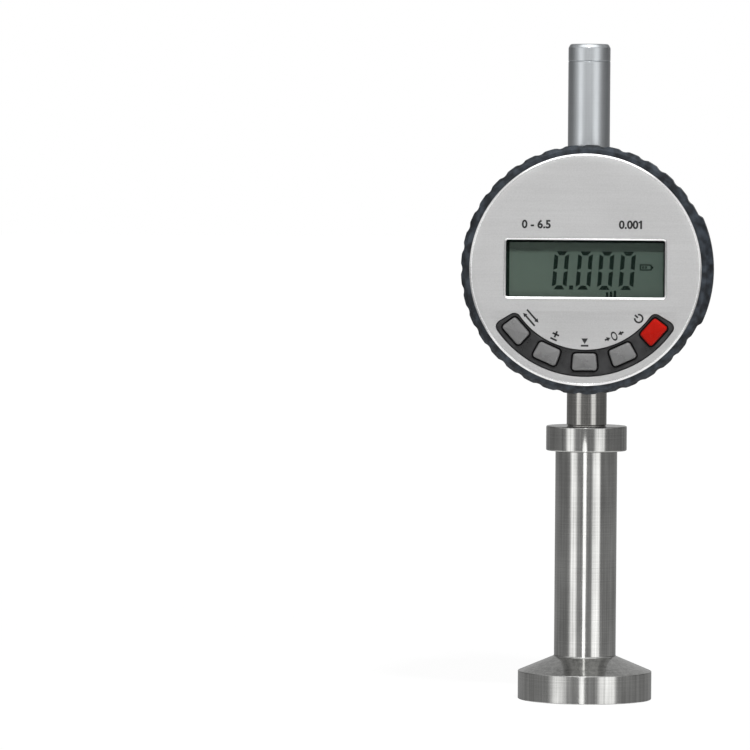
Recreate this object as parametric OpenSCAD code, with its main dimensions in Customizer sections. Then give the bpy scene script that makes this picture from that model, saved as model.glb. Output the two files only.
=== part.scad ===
// Surface profile depth gauge: a digital indicator that stands on a flanged, turned foot.
// The column's axis is Z, the display faces -Y and the origin is the centre of the foot's face.
// The display head is drawn in its own frame, whose z runs out of the face, and then stood up.

/* [Foot and column] */
// Diameter of the foot's flat face
foot_d = 32.5; // [30:0.5:40]
// Height of the foot's straight rim
foot_rim_h = 6.8; // [5:0.1:9]
// Height of the cone between the rim and the column
foot_cone_h = 3.7; // [2.5:0.1:6]
// Diameter of the column
column_d = 15; // [14.5:0.5:18]
// Length of the column above the foot's cone
column_h = 50; // [44:1:70]
// Radius of the fillet where the column meets the cone
foot_fillet_r = 0.8; // [0.4:0.1:1.5]
// Broken edge of the foot, the collar and the column
turned_edge = 0.4; // [0.2:0.1:0.8]
// Diameter of the relieved bore inside the column
column_bore_d = 9; // [8:0.5:10]
// Diameter of the hole that the tip passes in the foot's face
foot_hole_d = 5; // [4.6:0.1:6]
// Depth of the hole in the foot's face, up to the guide bush
foot_hole_h = 4.2; // [3:0.1:6]

/* [Collar and neck] */
// Diameter of the clamp collar
collar_d = 19.6; // [18:0.2:24]
// Height of the clamp collar
collar_h = 6; // [5:0.1:9]
// Diameter of the neck between the collar and the display
neck_d = 9.7; // [9.4:0.1:10]
// Length of neck that shows under the display
neck_show_h = 8.2; // [6:0.1:14]
// Length of neck that stands behind the display's rim
neck_hidden_h = 1.8; // [1:0.1:2]
// Diameter of the collar's spigot in the column
spigot_d = 12; // [11:0.2:12.6]
// Length of the collar's spigot in the column
spigot_h = 8.5; // [6:0.1:12]
// Diameter of the clamp screw
clamp_screw_d = 3; // [2:0.1:3.5]
// Depth of the clamp screw below the collar's surface
clamp_screw_recess = 0.3; // [0:0.1:0.8]
// Width across corners of the clamp screw's hexagon socket
clamp_socket_d = 1.7; // [1.2:0.1:2]
// Depth of the clamp screw's hexagon socket
clamp_socket_h = 1.6; // [1:0.1:2.5]

/* [Stem and bushes] */
// Diameter of the indicator's stem
stem_d = 8; // [7.6:0.1:8.4]
// Diameter of the stem's bore, which holds two guide bushes
stem_bore_d = 6; // [5.6:0.1:6.2]
// Distance of the stem's lower end above the spigot's lower end
stem_inset = 2; // [1:0.1:4]
// Length of each guide bush in the stem
stem_bush_h = 8; // [5:0.5:9]
// Outer diameter of the guide bush in the foot
foot_bush_d = 7; // [6:0.1:8]
// Length of the guide bush in the foot
foot_bush_h = 10; // [6:0.5:14]
// Chamfer at the ends of the bushes
bush_edge = 0.3; // [0.1:0.1:0.5]
// Outer diameter of the guide bush above the housing
upper_bush_d = 6.4; // [6:0.1:6.8]
// Length of the guide bush above the housing
upper_bush_h = 6; // [4:0.5:6.5]

/* [Spindle] */
// Diameter of the spindle and of its extension
spindle_d = 4; // [3.4:0.1:4.2]
// Travel of the spindle below the foot's face
travel_down = 6; // [4:0.1:6.4]
// Travel of the spindle above the foot's face
travel_up = 0.5; // [0.2:0.1:1]
// Length of the contact point's cone
tip_cone_h = 2.6; // [1.5:0.1:3]
// Diameter of the flat at the very tip
tip_flat_d = 0.2; // [0.1:0.1:0.5]
// Diameter of the contact point's shank
tip_shank_d = 3.2; // [2.6:0.1:3.4]
// Length of the contact point's shank
tip_shank_h = 0.8; // [0.4:0.1:1.2]
// Diameter of the threaded studs that join the spindle's pieces
stud_d = 2; // [1.6:0.1:2.2]
// Length of the threaded studs
stud_h = 3.4; // [2:0.1:4]
// Distance of the extension's upper end below the stem
extension_gap = 4; // [2:0.1:7]
// Diameter of the stop collar inside the housing
stop_d = 6; // [5:0.1:6.2]
// Height of the stop collar
stop_h = 4; // [2:0.1:4.5]
// Diameter of the spring seat on the spindle
seat_d = 6.8; // [6.6:0.1:7.4]
// Height of the spring seat
seat_h = 1.2; // [0.8:0.1:2]
// Length of spindle above the spring seat
spindle_end_h = 3; // [1:0.1:5]
// Chamfer at the spindle's ends
spindle_edge = 0.3; // [0.1:0.1:0.5]

/* [Return spring] */
// Mean diameter of the spring's coil
spring_d = 5.9; // [5.4:0.1:6.2]
// Diameter of the spring wire
wire_d = 0.5; // [0.3:0.05:0.6]
// Number of turns
spring_turns = 7; // [4:1:9]

/* [Scale and reader] */
// Width of the scale carrier
carrier_w = 10; // [8:0.5:11]
// Height of the scale carrier
carrier_h = 16; // [10:1:18]
// Thickness of the carrier in front of the spindle
carrier_front_t = 0.9; // [0.5:0.1:1.1]
// Thickness of the carrier behind the spindle
carrier_back_t = 1.2; // [0.8:0.1:1.6]
// Distance of the carrier above the stop collar
carrier_gap = 1.7; // [0.5:0.1:3]
// Width of the scale strip
scale_w = 8; // [6:0.5:10]
// Height of the scale strip
scale_h = 22; // [16:1:24]
// Thickness of the scale strip
scale_t = 0.7; // [0.4:0.1:1]
// Diameter of the pin that keeps the spindle from turning
pin_d = 1.5; // [1:0.1:2]
// Depth of that pin in the carrier
pin_grip = 2; // [1:0.1:2.6]
// Thickness of the slotted guide plate
guide_t = 1.6; // [1:0.1:2]
// Distance between the carrier and the guide plate
guide_gap = 1.2; // [0.6:0.1:1.4]
// Height of the guide plate
guide_h = 15; // [13:0.5:18]
// Width of the reader board
reader_w = 28; // [25:0.5:30]
// Height of the reader board
reader_h = 28; // [25:0.5:30]
// Thickness of the reader board and of its chip
reader_t = 1; // [0.8:0.1:1.6]
// Side of the reader board's chip
reader_chip = 8; // [5:0.5:10]
// Diameter of the posts that carry the reader board
post_d = 4.4; // [4:0.1:5]
// Distance of the posts from the reader board's edges
post_inset = 3; // [2.6:0.1:3.5]

/* [Housing] */
// How far the housing's rim lies inside the bezel's rim
housing_step = 3; // [2:0.1:4]
// Depth of the housing behind the spindle's axis
housing_back_h = 9.8; // [9:0.1:13]
// Thickness of the housing's round wall
housing_wall = 2.2; // [1.6:0.1:2.6]
// Thickness of the housing's front wall
housing_front_t = 1.7; // [1.4:0.1:1.8]
// Diameter of the bosses for the stem and the top tube
boss_d = 12.4; // [12:0.2:14]
// Height of those bosses inside the housing
boss_in_h = 6; // [4:0.1:7]
// Height of the upper boss above the housing's rim
boss_out_h = 1.8; // [1:0.1:2.6]
// Height of the upper boss's spigot in the top tube
boss_spigot_h = 2; // [1.5:0.1:3]
// Thickness of the rear cover
cover_t = 2; // [1.6:0.1:3]
// Broken edge of the rear cover
cover_edge = 0.8; // [0.4:0.1:1.2]
// Depth of the rear cover's shallow round recess
cover_recess_h = 0.4; // [0.2:0.1:0.6]
// Diameter of the rear cover's screw bosses
cover_boss_d = 5; // [4.6:0.1:6]

/* [Top tube] */
// Diameter of the top tube
tube_d = 10.2; // [10:0.1:10.8]
// Wall of the top tube
tube_wall = 1; // [0.8:0.1:1.1]
// Height of the top tube and its cap above the bezel's rim
tube_show_h = 24.4; // [23:0.1:36]
// Height of the cap
cap_h = 4.2; // [3:0.1:6]
// Depth of the cap's spigot in the tube
cap_spigot_h = 2.4; // [1.5:0.1:4]
// Width of the chamfer at the cap's top
cap_edge_w = 0.5; // [0.3:0.1:1]
// Height of the chamfer at the cap's top
cap_edge_h = 0.9; // [0.4:0.1:1.5]
// Width of the groove at the cap's seam
seam_edge = 0.25; // [0.1:0.05:0.5]

/* [Bezel] */
// Gap between the display's frame and the bezel's wall
display_gap = 1.55; // [1:0.05:4]
// Width of the dark rim round the face plate
rim_w = 2.1; // [1.6:0.1:2.4]
// Number of grip notches in a full turn; the bump takes the place of some
notch_count = 37; // [25:1:40]
// Depth of the grip notches
notch_depth = 0.35; // [0.2:0.05:0.6]
// Radius of the grip notches
notch_r = 2.2; // [1.5:0.1:3]
// Chamfer at the bezel's front
bezel_edge = 1; // [0.5:0.1:1.3]
// Chamfer at the bezel's back
bezel_back_edge = 0.4; // [0.2:0.1:0.8]
// Thickness of the bezel's wall behind its grip
bezel_wall = 3.4; // [3.1:0.1:3.8]
// Thickness of the front wall behind the face plate
front_wall_t = 1.2; // [0.8:0.1:1.6]
// How far the smooth battery bump stands out of the grip
bump_rise = 0.7; // [0.4:0.05:1.2]
// Angle that the bump's full height covers on each side of its middle
bump_half_deg = 24; // [24:0.1:30]
// Angle that the slope at each end of the bump covers
bump_slope_deg = 2.6; // [1:0.1:4]

/* [Face and window] */
// Thickness of the face plate
plate_t = 1.2; // [0.8:0.1:1.5]
// How far the face plate stands out of the bezel
plate_rise = 0.5; // [0.3:0.1:0.7]
// Chamfer at the face plate's edge
plate_edge = 0.4; // [0.2:0.1:0.7]
// Width of the display window
window_w = 39; // [34:0.5:40]
// Height of the display window
window_h = 14.4; // [12:0.2:16]
// Radius of the window's corners
window_corner_r = 0.5; // [0.3:0.1:1]
// Width of the slope round the window
window_slope = 0.5; // [0.2:0.1:0.8]
// Thickness of the window lens
lens_t = 0.9; // [0.6:0.1:1]
// How far the lens reaches under the face plate
lens_lap = 0.9; // [0.5:0.1:1.1]

/* [Display] */
// How far the display panel reaches past the window's sides
lcd_side_lap = 1.5; // [1.2:0.1:3]
// How far the display panel reaches past the window's top and bottom
lcd_top_lap = 2; // [1.6:0.1:3]
// Thickness of the display panel
lcd_t = 1.6; // [1.2:0.1:2]
// Width of the frame round the display panel
lcd_frame_w = 1.6; // [1:0.1:2]
// Thickness of the rubber connectors under the panel
connector_t = 0.8; // [0.6:0.1:1.2]
// Width of the rubber connectors
connector_w = 1.6; // [1:0.1:2]
// Distance of the rubber connectors' ends from the panel's ends
connector_inset = 2; // [1:0.5:6]
// Thickness of the main board
board_t = 0.8; // [0.6:0.1:1.2]
// Gap between the main board and the bezel's wall
board_gap = 0.8; // [0.4:0.1:1.2]
// Side of the main board's chip
chip_side = 9; // [6:0.5:10]
// Thickness of the main board's chip
chip_t = 1.2; // [0.8:0.1:1.6]

/* [Keys] */
// Angle between two keys
key_pitch_deg = 24.1; // [23:0.1:25]
// Width of a key at its inner edge
key_inner_w = 5.8; // [5:0.1:6]
// Width of a key at its outer edge
key_outer_w = 6.4; // [5.6:0.1:6.8]
// Length of a key along the radius
key_l = 4.2; // [3.6:0.1:4.4]
// Radius of a key's corners
key_corner_r = 0.8; // [0.5:0.1:1.2]
// How far the keys stand out of the face plate
key_rise = 0.7; // [0.5:0.1:1.2]
// Chamfer round a key's top
key_edge = 0.4; // [0.2:0.1:0.6]
// Travel of a key
key_travel = 0.6; // [0.3:0.1:0.7]
// How far a key's flange stands out of its cap
key_flange_w = 0.5; // [0.4:0.1:0.6]
// Thickness of a key's flange
key_flange_t = 0.6; // [0.4:0.1:0.8]
// Width of the dark strip round the keys
strip_w = 6.5; // [6:0.1:7]
// Distance of that strip from the face plate's rim
strip_margin = 2.2; // [1.8:0.1:3]
// Angle that the strip covers on each side of its middle
strip_half_deg = 59; // [58:0.5:62]
// Radius of the strip's corners
strip_corner_r = 1.6; // [1:0.1:2]
// How far the strip lies below the face plate's front
strip_sink = 0.3; // [0.1:0.1:0.5]
// Thickness of the rubber key mat
mat_t = 0.6; // [0.4:0.1:0.7]
// Diameter of the mat's domes
dome_d = 2.6; // [2:0.1:3]
// Height of the mat's domes
dome_h = 0.6; // [0.3:0.1:0.8]

/* [Battery and back] */
// Diameter of the coin cell
cell_d = 20; // [19:0.5:20]
// Thickness of the coin cell
cell_t = 3.2; // [2:0.1:3.2]
// Wall of the battery tray round the cell
tray_wall = 1.6; // [1.2:0.1:1.8]
// Thickness of the ledge under the cell
tray_ledge_t = 0.2; // [0.2:0.1:0.4]
// Width of the ledge under the cell
tray_ledge_w = 0.7; // [0.4:0.1:1]
// Thickness of the tray's end between the cell and the bump's surface
tray_nose_t = 3.9; // [3.4:0.1:5]
// Gap between the tray's inner end and the ring on the hub
tray_hub_gap = 0.7; // [0.4:0.1:2]
// Travel of the battery tray
tray_travel = 20; // [12:0.5:20]
// Thickness of the contact leaves
leaf_t = 0.2; // [0.1:0.05:0.25]
// Width of the contact leaves
leaf_w = 3; // [2:0.1:4]
// Length of the contact leaves
leaf_l = 8; // [5:0.5:10]
// Thickness of the display head's back plate
back_plate_t = 1; // [0.8:0.1:1.4]
// Diameter of the hub on which the display head turns
hub_d = 8.8; // [8:0.1:9]
// Diameter of the hub's bore
hub_bore_d = 5.6; // [5:0.1:6]
// Diameter of the hub's flange
hub_flange_d = 12; // [10.5:0.1:14]
// Thickness of the hub's flange
hub_flange_t = 0.8; // [0.6:0.1:1]
// Diameter of the ring that holds the display head on its hub
hub_ring_d = 10.6; // [10:0.1:11]
// Thickness of that ring
hub_ring_t = 0.6; // [0.4:0.1:0.8]
// Depth of the ring's groove in the hub
hub_groove = 0.5; // [0.3:0.1:0.8]
// Length of hub beyond the ring
hub_end_h = 1.2; // [0.6:0.1:1.5]

/* [Screws] */
// Diameter of the small screws
screw_d = 2; // [1.6:0.1:2.2]
// Diameter of the small screws' heads
screw_head_d = 3.6; // [3.2:0.1:3.8]
// Height of the rear cover's screw heads
screw_head_h = 1.1; // [0.8:0.1:1.3]
// Length of the small screws below the head
screw_l = 6; // [4:0.1:7]
// Width of the screws' slots
slot_w = 0.5; // [0.3:0.1:0.7]
// Depth of the screws' slots
slot_h = 0.4; // [0.2:0.1:0.45]
// Height of the head screws' thin heads
thin_head_h = 0.5; // [0.5:0.1:0.6]

/* [Fits] */
// Radial gap of a piece seated in another
fit_gap = 0.02; // [0.01:0.01:0.04]
// Radial gap of a running fit
run_gap = 0.04; // [0.02:0.01:0.08]
// Gap between pieces that move past each other
part_gap = 0.3; // [0.2:0.05:0.35]

/* [Hidden] */

$fn = 96;
// Facets of a small hull's children
hull_fn = 32;
// Segments of a rounded corner and of a turned fillet
corner_steps = 6;
// Segments of the long arcs of a curved slab
slab_steps = 40;
// Cuts run this far past the surface that they open
over = 0.5;
// A right angle, which also stands the head's frame up on the column
quarter_turn_deg = 90;
half_turn_deg = 180;
full_turn_deg = 360;

// Levels along the column, from the foot's face up
cone_top_z = foot_rim_h + foot_cone_h;
column_top_z = cone_top_z + column_h;
collar_top_z = column_top_z + collar_h;
spigot_z = column_top_z - spigot_h;
neck_top_z = collar_top_z + neck_show_h + neck_hidden_h;
foot_bush_top_z = foot_hole_h + foot_bush_h;

// Outlines of the display panel, its frame and its opening
lcd_w = window_w + 2 * lcd_side_lap;
lcd_h = window_h + 2 * lcd_top_lap;
connector_l = lcd_w - 2 * connector_inset;
frame_w = lcd_w + 2 * lcd_frame_w;
frame_h = lcd_h + 2 * lcd_frame_w;
opening_w = window_w + 2 * lens_lap + 2 * fit_gap;
opening_h = window_h + 2 * lens_lap + 2 * fit_gap;

// The bezel goes round the display's frame and the battery tray, whichever reaches further
display_reach = norm([frame_w, frame_h]) / 2 + display_gap + bezel_wall;
tray_l = tray_wall / 2 + cell_d + tray_nose_t;
tray_reach = hub_ring_d / 2 + tray_hub_gap + tray_l - bump_rise;
bezel_r = max(display_reach, tray_reach);

// Radii of the housing, the bezel and the strip
housing_r = bezel_r - housing_step;
housing_in_r = housing_r - housing_wall;
plate_r = bezel_r - rim_w;
cavity_r = bezel_r - bezel_wall;
bump_r = bezel_r + bump_rise;
strip_outer_r = plate_r - strip_margin;
strip_inner_r = strip_outer_r - strip_w;
key_ring_r = (strip_inner_r + strip_outer_r) / 2;
head_z = collar_top_z + neck_show_h + bezel_r;

// Levels of the housing's bosses, the stem and the top tube
boss_low_z = neck_top_z + part_gap;
stem_low_z = spigot_z + stem_inset;
stem_top_z = head_z - housing_in_r + boss_in_h - housing_wall;
tube_low_z = head_z + housing_r + boss_out_h;
boss_in_low_z = head_z + housing_in_r - boss_in_h + housing_wall;
tube_spigot_z = tube_low_z + boss_spigot_h;
tube_top_z = head_z + bezel_r + tube_show_h;
cap_low_z = tube_top_z - cap_h;
cap_spigot_z = cap_low_z - cap_spigot_h;
tube_in_r = tube_d / 2 - tube_wall;

// Levels of the display head, out of the face from the spindle's axis
housing_front = tube_d / 2;
housing_inner = housing_front - housing_front_t;
cover_back = housing_back_h + cover_t;
head_back = housing_front + part_gap;
back_plate_top = head_back + back_plate_t;
tray_low = back_plate_top + part_gap;
cell_low = tray_low + tray_ledge_t;
tray_top = cell_low + cell_t + tray_ledge_t;
board_low = tray_top + part_gap;
board_top = board_low + board_t;
lcd_low = board_top + connector_t;
lcd_top = lcd_low + lcd_t;
plate_low = lcd_top + front_wall_t;
plate_front = plate_low + plate_t;
bezel_front = plate_front - plate_rise;
key_front = plate_front + key_rise;
key_flange_top = lcd_top - part_gap;
key_flange_low = key_flange_top - key_flange_t;
mat_top = board_top + mat_t;
strip_front = plate_front - strip_sink;
key_cap_low = key_flange_low + key_flange_t / 2;

// Levels along the spindle
tip_top_z = tip_cone_h + tip_shank_h;
extension_top_z = stem_low_z - extension_gap;
stop_z = stem_top_z + part_gap + travel_down;
carrier_z = stop_z + stop_h + carrier_gap;
seat_z = tube_spigot_z + part_gap + travel_down;
spring_z = seat_z + seat_h;
spindle_top_z = spring_z + spindle_end_h;
spindle_r = spindle_d / 2;
stud_r = stud_d / 2;

// Places inside the housing
carrier_front = spindle_r + carrier_front_t;
carrier_back = spindle_r + carrier_back_t;
scale_back = carrier_back + scale_t;
reader_front = scale_back + part_gap;
reader_back = reader_front + reader_t;
pin_z = carrier_z + carrier_h / 2;
guide_x = carrier_w / 2 + guide_gap;
guide_low_z = pin_z - travel_down - pin_d - guide_t;
pin_end_x = guide_x + guide_t + guide_gap;
post_x = reader_w / 2 - post_inset;
post_z = reader_h / 2 - post_inset;
cover_boss_ring_r = housing_in_r - cover_boss_d / 3;
cover_screw_angles = [45, 135, 225, 315];

// Places inside the display head
connector_y = lcd_h / 2 - connector_w;
head_boss_d = screw_head_d;
head_boss_r = cavity_r - head_boss_d / 2 - fit_gap;
upper_boss_deg = 42;
lower_boss_x = frame_w / 5;
lower_boss_y = -(frame_h / 2 + head_boss_d);
head_boss_places = [
    [head_boss_r * cos(upper_boss_deg), head_boss_r * sin(upper_boss_deg)],
    [-head_boss_r * cos(upper_boss_deg), head_boss_r * sin(upper_boss_deg)],
    [lower_boss_x, lower_boss_y],
    [-lower_boss_x, lower_boss_y]
];
strip_mid_deg = -90;
key_places = [-2, -1, 0, 1, 2];
// The key mat ends where it would run under the display's frame
mat_half_deg = min(strip_half_deg, acos((frame_h / 2 + part_gap) / strip_inner_r));
tray_half_w = cell_d / 2 + tray_wall;
tray_inner_x = bump_r - tray_l;
cell_x = tray_inner_x + tray_wall / 2 + cell_d / 2;
leaf_spread = cell_d / 4;

// Helpers: flat and turned shapes

// A point of the arc that rounds corner q between its neighbours p and s
function arc_point(p, q, s, r, share) =
    let (u = (p - q) / norm(p - q), v = (s - q) / norm(s - q))
    let (half = acos(u * v) / 2)
    let (centre = q + (u + v) / norm(u + v) * r / sin(half))
    let (start = q + u * r / tan(half) - centre)
    let (turn = (quarter_turn_deg - half) * 2 * share)
    centre + [start[0] * cos(turn) - start[1] * sin(turn), start[0] * sin(turn) + start[1] * cos(turn)];

// An outline with each corner rounded; the corners run anticlockwise
function rounded(corners, r) = [
    for (i = [0 : len(corners) - 1])
        for (k = [0 : corner_steps])
            arc_point(
                corners[(i + len(corners) - 1) % len(corners)], corners[i],
                corners[(i + 1) % len(corners)], r, k / corner_steps
            )
];

// A key's outline, grown on all sides by a margin
function key_outline(margin) = rounded([
    [-key_outer_w / 2 - margin, -key_l / 2 - margin],
    [key_outer_w / 2 + margin, -key_l / 2 - margin],
    [key_inner_w / 2 + margin, key_l / 2 + margin],
    [-key_inner_w / 2 - margin, key_l / 2 + margin]
], key_corner_r + margin);

// A straight tube or rod between two levels
module tube(outer_r, inner_r, low, high) {
    translate([0, 0, low])
        difference() {
            cylinder(r = outer_r, h = high - low);
            if (inner_r > 0)
                translate([0, 0, -over]) cylinder(r = inner_r, h = high - low + 2 * over);
        }
}

// A bush with chamfered ends
module bush(outer_r, inner_r, low, high) {
    rotate_extrude()
        polygon([
            [inner_r, low + bush_edge], [inner_r + bush_edge, low],
            [outer_r - bush_edge, low], [outer_r, low + bush_edge],
            [outer_r, high - bush_edge], [outer_r - bush_edge, high],
            [inner_r + bush_edge, high], [inner_r, high - bush_edge]
        ]);
}

// A slab with rounded corners
module round_slab(w, h, r, low, high) {
    translate([0, 0, low])
        linear_extrude(high - low) {
            square([w - 2 * r, h], center = true);
            square([w, h - 2 * r], center = true);
            for (sx = [-1, 1], sy = [-1, 1])
                translate([sx * (w / 2 - r), sy * (h / 2 - r)]) circle(r = r, $fn = hull_fn);
        }
}

// Points on a circle at shares of the way from one angle to another
function arc(centre, r, from_deg, to_deg, shares) = [
    for (share = shares)
        let (a = from_deg + (to_deg - from_deg) * share)
        centre + [r * cos(a), r * sin(a)]
];

// A curved slab with rounded corners, centred on the bottom of the face
module arc_slab(inner_r, outer_r, half_deg, corner_r, low, high) {
    inner_turn = asin(corner_r / (inner_r + corner_r));
    outer_turn = asin(corner_r / (outer_r - corner_r));
    from = strip_mid_deg - half_deg;
    to = strip_mid_deg + half_deg;
    from_side = from - quarter_turn_deg;
    to_side = to + quarter_turn_deg;
    side_shares = [for (i = [1 : slab_steps - 1]) i / slab_steps];
    corner_shares = [for (i = [0 : corner_steps]) i / corner_steps];
    outer_places = arc([0, 0], outer_r - corner_r, from + outer_turn, to - outer_turn, [0, 1]);
    inner_places = arc([0, 0], inner_r + corner_r, from + inner_turn, to - inner_turn, [0, 1]);
    translate([0, 0, low])
        linear_extrude(high - low)
            polygon(concat(
                arc([0, 0], outer_r, from + outer_turn, to - outer_turn, side_shares),
                arc(outer_places[1], corner_r, to - outer_turn, to_side, corner_shares),
                arc(inner_places[1], corner_r, to_side, to - inner_turn + half_turn_deg, corner_shares),
                arc([0, 0], inner_r, to - inner_turn, from + inner_turn, side_shares),
                arc(inner_places[0], corner_r, from + inner_turn - half_turn_deg, from_side, corner_shares),
                arc(outer_places[0], corner_r, from_side, from + outer_turn, corner_shares)
            ));
}

// The display head's frame: x to the right, y up and z out of the face
module on_face() {
    translate([0, 0, head_z]) rotate([quarter_turn_deg, 0, 0]) children();
}

// The place of one key, with y towards the display's centre
module at_key(place) {
    rotate([0, 0, place * key_pitch_deg]) translate([0, -key_ring_r, 0]) children();
}

// A slotted screw, its head up at the given level
module slotted_screw(head_r, head_h, shank_r, length, head_top) {
    difference() {
        union() {
            tube(head_r, 0, head_top - head_h, head_top);
            tube(shank_r, 0, head_top - head_h - length, head_top - head_h / 2);
        }
        translate([-head_r - over, -slot_w / 2, head_top - slot_h])
            cube([2 * (head_r + over), slot_w, slot_h + over]);
    }
}

// Foot, column, collar and stem

module foot_column() {
    fillet = [
        for (k = [0 : corner_steps])
            arc_point(
                [column_d / 2, column_top_z], [column_d / 2, cone_top_z],
                [foot_d / 2 - turned_edge, foot_rim_h], foot_fillet_r, 1 - k / corner_steps
            )
    ];
    color("lightsteelblue")
        rotate_extrude()
            polygon(concat(
                [
                    [foot_hole_d / 2 + turned_edge, 0],
                    [foot_d / 2 - turned_edge, 0],
                    [foot_d / 2, turned_edge],
                    [foot_d / 2, foot_rim_h - turned_edge],
                    [foot_d / 2 - turned_edge, foot_rim_h]
                ],
                fillet,
                [
                    [column_d / 2, column_top_z - turned_edge],
                    [column_d / 2 - turned_edge, column_top_z],
                    [spigot_d / 2 + fit_gap, column_top_z],
                    [spigot_d / 2 + fit_gap, spigot_z],
                    [column_bore_d / 2, spigot_z],
                    [column_bore_d / 2, foot_bush_top_z],
                    [foot_bush_d / 2 + fit_gap, foot_bush_top_z],
                    [foot_bush_d / 2 + fit_gap, foot_hole_h],
                    [foot_hole_d / 2, foot_hole_h],
                    [foot_hole_d / 2, turned_edge]
                ]
            ));
}

module tip_guide_bush() {
    color("goldenrod") bush(foot_bush_d / 2, spindle_r + run_gap, foot_hole_h, foot_bush_top_z);
}

module clamp_collar() {
    clamp_z = column_top_z + collar_h / 2;
    color("lightsteelblue")
        difference() {
            rotate_extrude()
                polygon([
                    [stem_d / 2 + fit_gap, spigot_z],
                    [spigot_d / 2, spigot_z],
                    [spigot_d / 2, column_top_z],
                    [collar_d / 2 - turned_edge, column_top_z],
                    [collar_d / 2, column_top_z + turned_edge],
                    [collar_d / 2, collar_top_z - turned_edge],
                    [collar_d / 2 - turned_edge, collar_top_z],
                    [neck_d / 2, collar_top_z],
                    [neck_d / 2, neck_top_z],
                    [stem_d / 2 + fit_gap, neck_top_z]
                ]);
            translate([0, 0, clamp_z])
                rotate([-quarter_turn_deg, 0, 0])
                    cylinder(r = clamp_screw_d / 2 + fit_gap, h = collar_d / 2 + over);
        }
}

module clamp_screw() {
    inner = stem_d / 2 + fit_gap;
    outer = collar_d / 2 - clamp_screw_recess;
    color("dimgray")
        translate([0, 0, column_top_z + collar_h / 2])
            rotate([-quarter_turn_deg, 0, 0])
                difference() {
                    tube(clamp_screw_d / 2, 0, inner, outer);
                    translate([0, 0, outer - clamp_socket_h])
                        cylinder(r = clamp_socket_d / 2, h = clamp_socket_h + over, $fn = 6);
                }
}

module stem() {
    color("silver") tube(stem_d / 2, stem_bore_d / 2, stem_low_z, stem_top_z);
}

module stem_bushes() {
    color("goldenrod") {
        bush(stem_bore_d / 2 - fit_gap, spindle_r + run_gap, stem_low_z, stem_low_z + stem_bush_h);
        bush(stem_bore_d / 2 - fit_gap, spindle_r + run_gap, stem_top_z - stem_bush_h, stem_top_z);
    }
}

// Housing and what it holds

// The part of a boss that lies behind the housing's front
module boss(r, low_z, high_z) {
    intersection() {
        tube(r, 0, low_z, high_z);
        translate([-r, -housing_front, low_z]) cube([2 * r, housing_front + r, high_z - low_z]);
    }
}

module cover_boss_places() {
    for (a = cover_screw_angles)
        rotate([0, 0, a]) translate([cover_boss_ring_r, 0, 0]) children();
}

module housing() {
    color("dimgray")
        difference() {
            union() {
                difference() {
                    on_face() tube(housing_r, 0, -housing_back_h, housing_front);
                    on_face() tube(housing_in_r, 0, -housing_back_h - over, housing_inner);
                }
                on_face()
                    cover_boss_places()
                        tube(cover_boss_d / 2, 0, -housing_back_h + fit_gap, housing_inner + fit_gap);
                on_face()
                    for (sx = [-1, 1], sy = [-1, 1])
                        translate([sx * post_x, sy * post_z, 0])
                            tube(post_d / 2, 0, -reader_front, housing_inner + fit_gap);
                boss(boss_d / 2, boss_low_z, stem_top_z);
                boss(boss_d / 2, boss_in_low_z, tube_low_z);
                tube(tube_in_r - fit_gap, 0, tube_low_z - boss_out_h, tube_spigot_z);
            }
            tube(stem_d / 2 + fit_gap, 0, boss_low_z - over, stem_top_z + over);
            tube(upper_bush_d / 2 + fit_gap, 0, boss_in_low_z - over, tube_spigot_z + over);
            on_face() {
                tube(hub_d / 2 - hub_groove + fit_gap, 0, housing_inner - over, housing_front + over);
                tube(hub_flange_d / 2 + fit_gap, 0, housing_front - hub_flange_t, housing_front + over);
                cover_boss_places()
                    tube(screw_d / 2 + fit_gap, 0, -housing_back_h - over, -housing_back_h + screw_l + over);
                for (sx = [-1, 1], sy = [-1, 1])
                    translate([sx * post_x, sy * post_z, 0])
                        tube(screw_d / 2 + fit_gap, 0, -reader_front - over, housing_inner - over);
            }
        }
}

module back_cover() {
    recess_r = cover_boss_ring_r - cover_boss_d / 2;
    color("dimgray")
        on_face()
            difference() {
                rotate_extrude()
                    polygon([
                        [0, -cover_back + cover_recess_h],
                        [recess_r, -cover_back + cover_recess_h],
                        [recess_r, -cover_back],
                        [housing_r - cover_edge, -cover_back],
                        [housing_r, -cover_back + cover_edge],
                        [housing_r, -housing_back_h],
                        [0, -housing_back_h]
                    ]);
                cover_boss_places() {
                    tube(screw_d / 2 + fit_gap, 0, -cover_back - over, -housing_back_h + over);
                    tube(
                        screw_head_d / 2 + fit_gap, 0,
                        -cover_back - over, -cover_back + screw_head_h
                    );
                }
            }
}

module back_cover_screws() {
    color("silver")
        on_face()
            cover_boss_places()
                mirror([0, 0, 1])
                    slotted_screw(screw_head_d / 2, screw_head_h, screw_d / 2, screw_l, cover_back);
}

module swivel_hub() {
    ring_low = back_plate_top + part_gap;
    ring_top = ring_low + hub_ring_t;
    hub_r = hub_d / 2;
    groove_r = hub_r - hub_groove;
    color("silver")
        on_face()
            rotate_extrude()
                polygon([
                    [hub_bore_d / 2, housing_inner],
                    [groove_r, housing_inner],
                    [groove_r, housing_front - hub_flange_t],
                    [hub_flange_d / 2, housing_front - hub_flange_t],
                    [hub_flange_d / 2, housing_front],
                    [hub_r, housing_front],
                    [hub_r, ring_low - fit_gap],
                    [groove_r, ring_low - fit_gap],
                    [groove_r, ring_top + fit_gap],
                    [hub_r, ring_top + fit_gap],
                    [hub_r, ring_top + hub_end_h],
                    [hub_bore_d / 2, ring_top + hub_end_h]
                ]);
}

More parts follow.
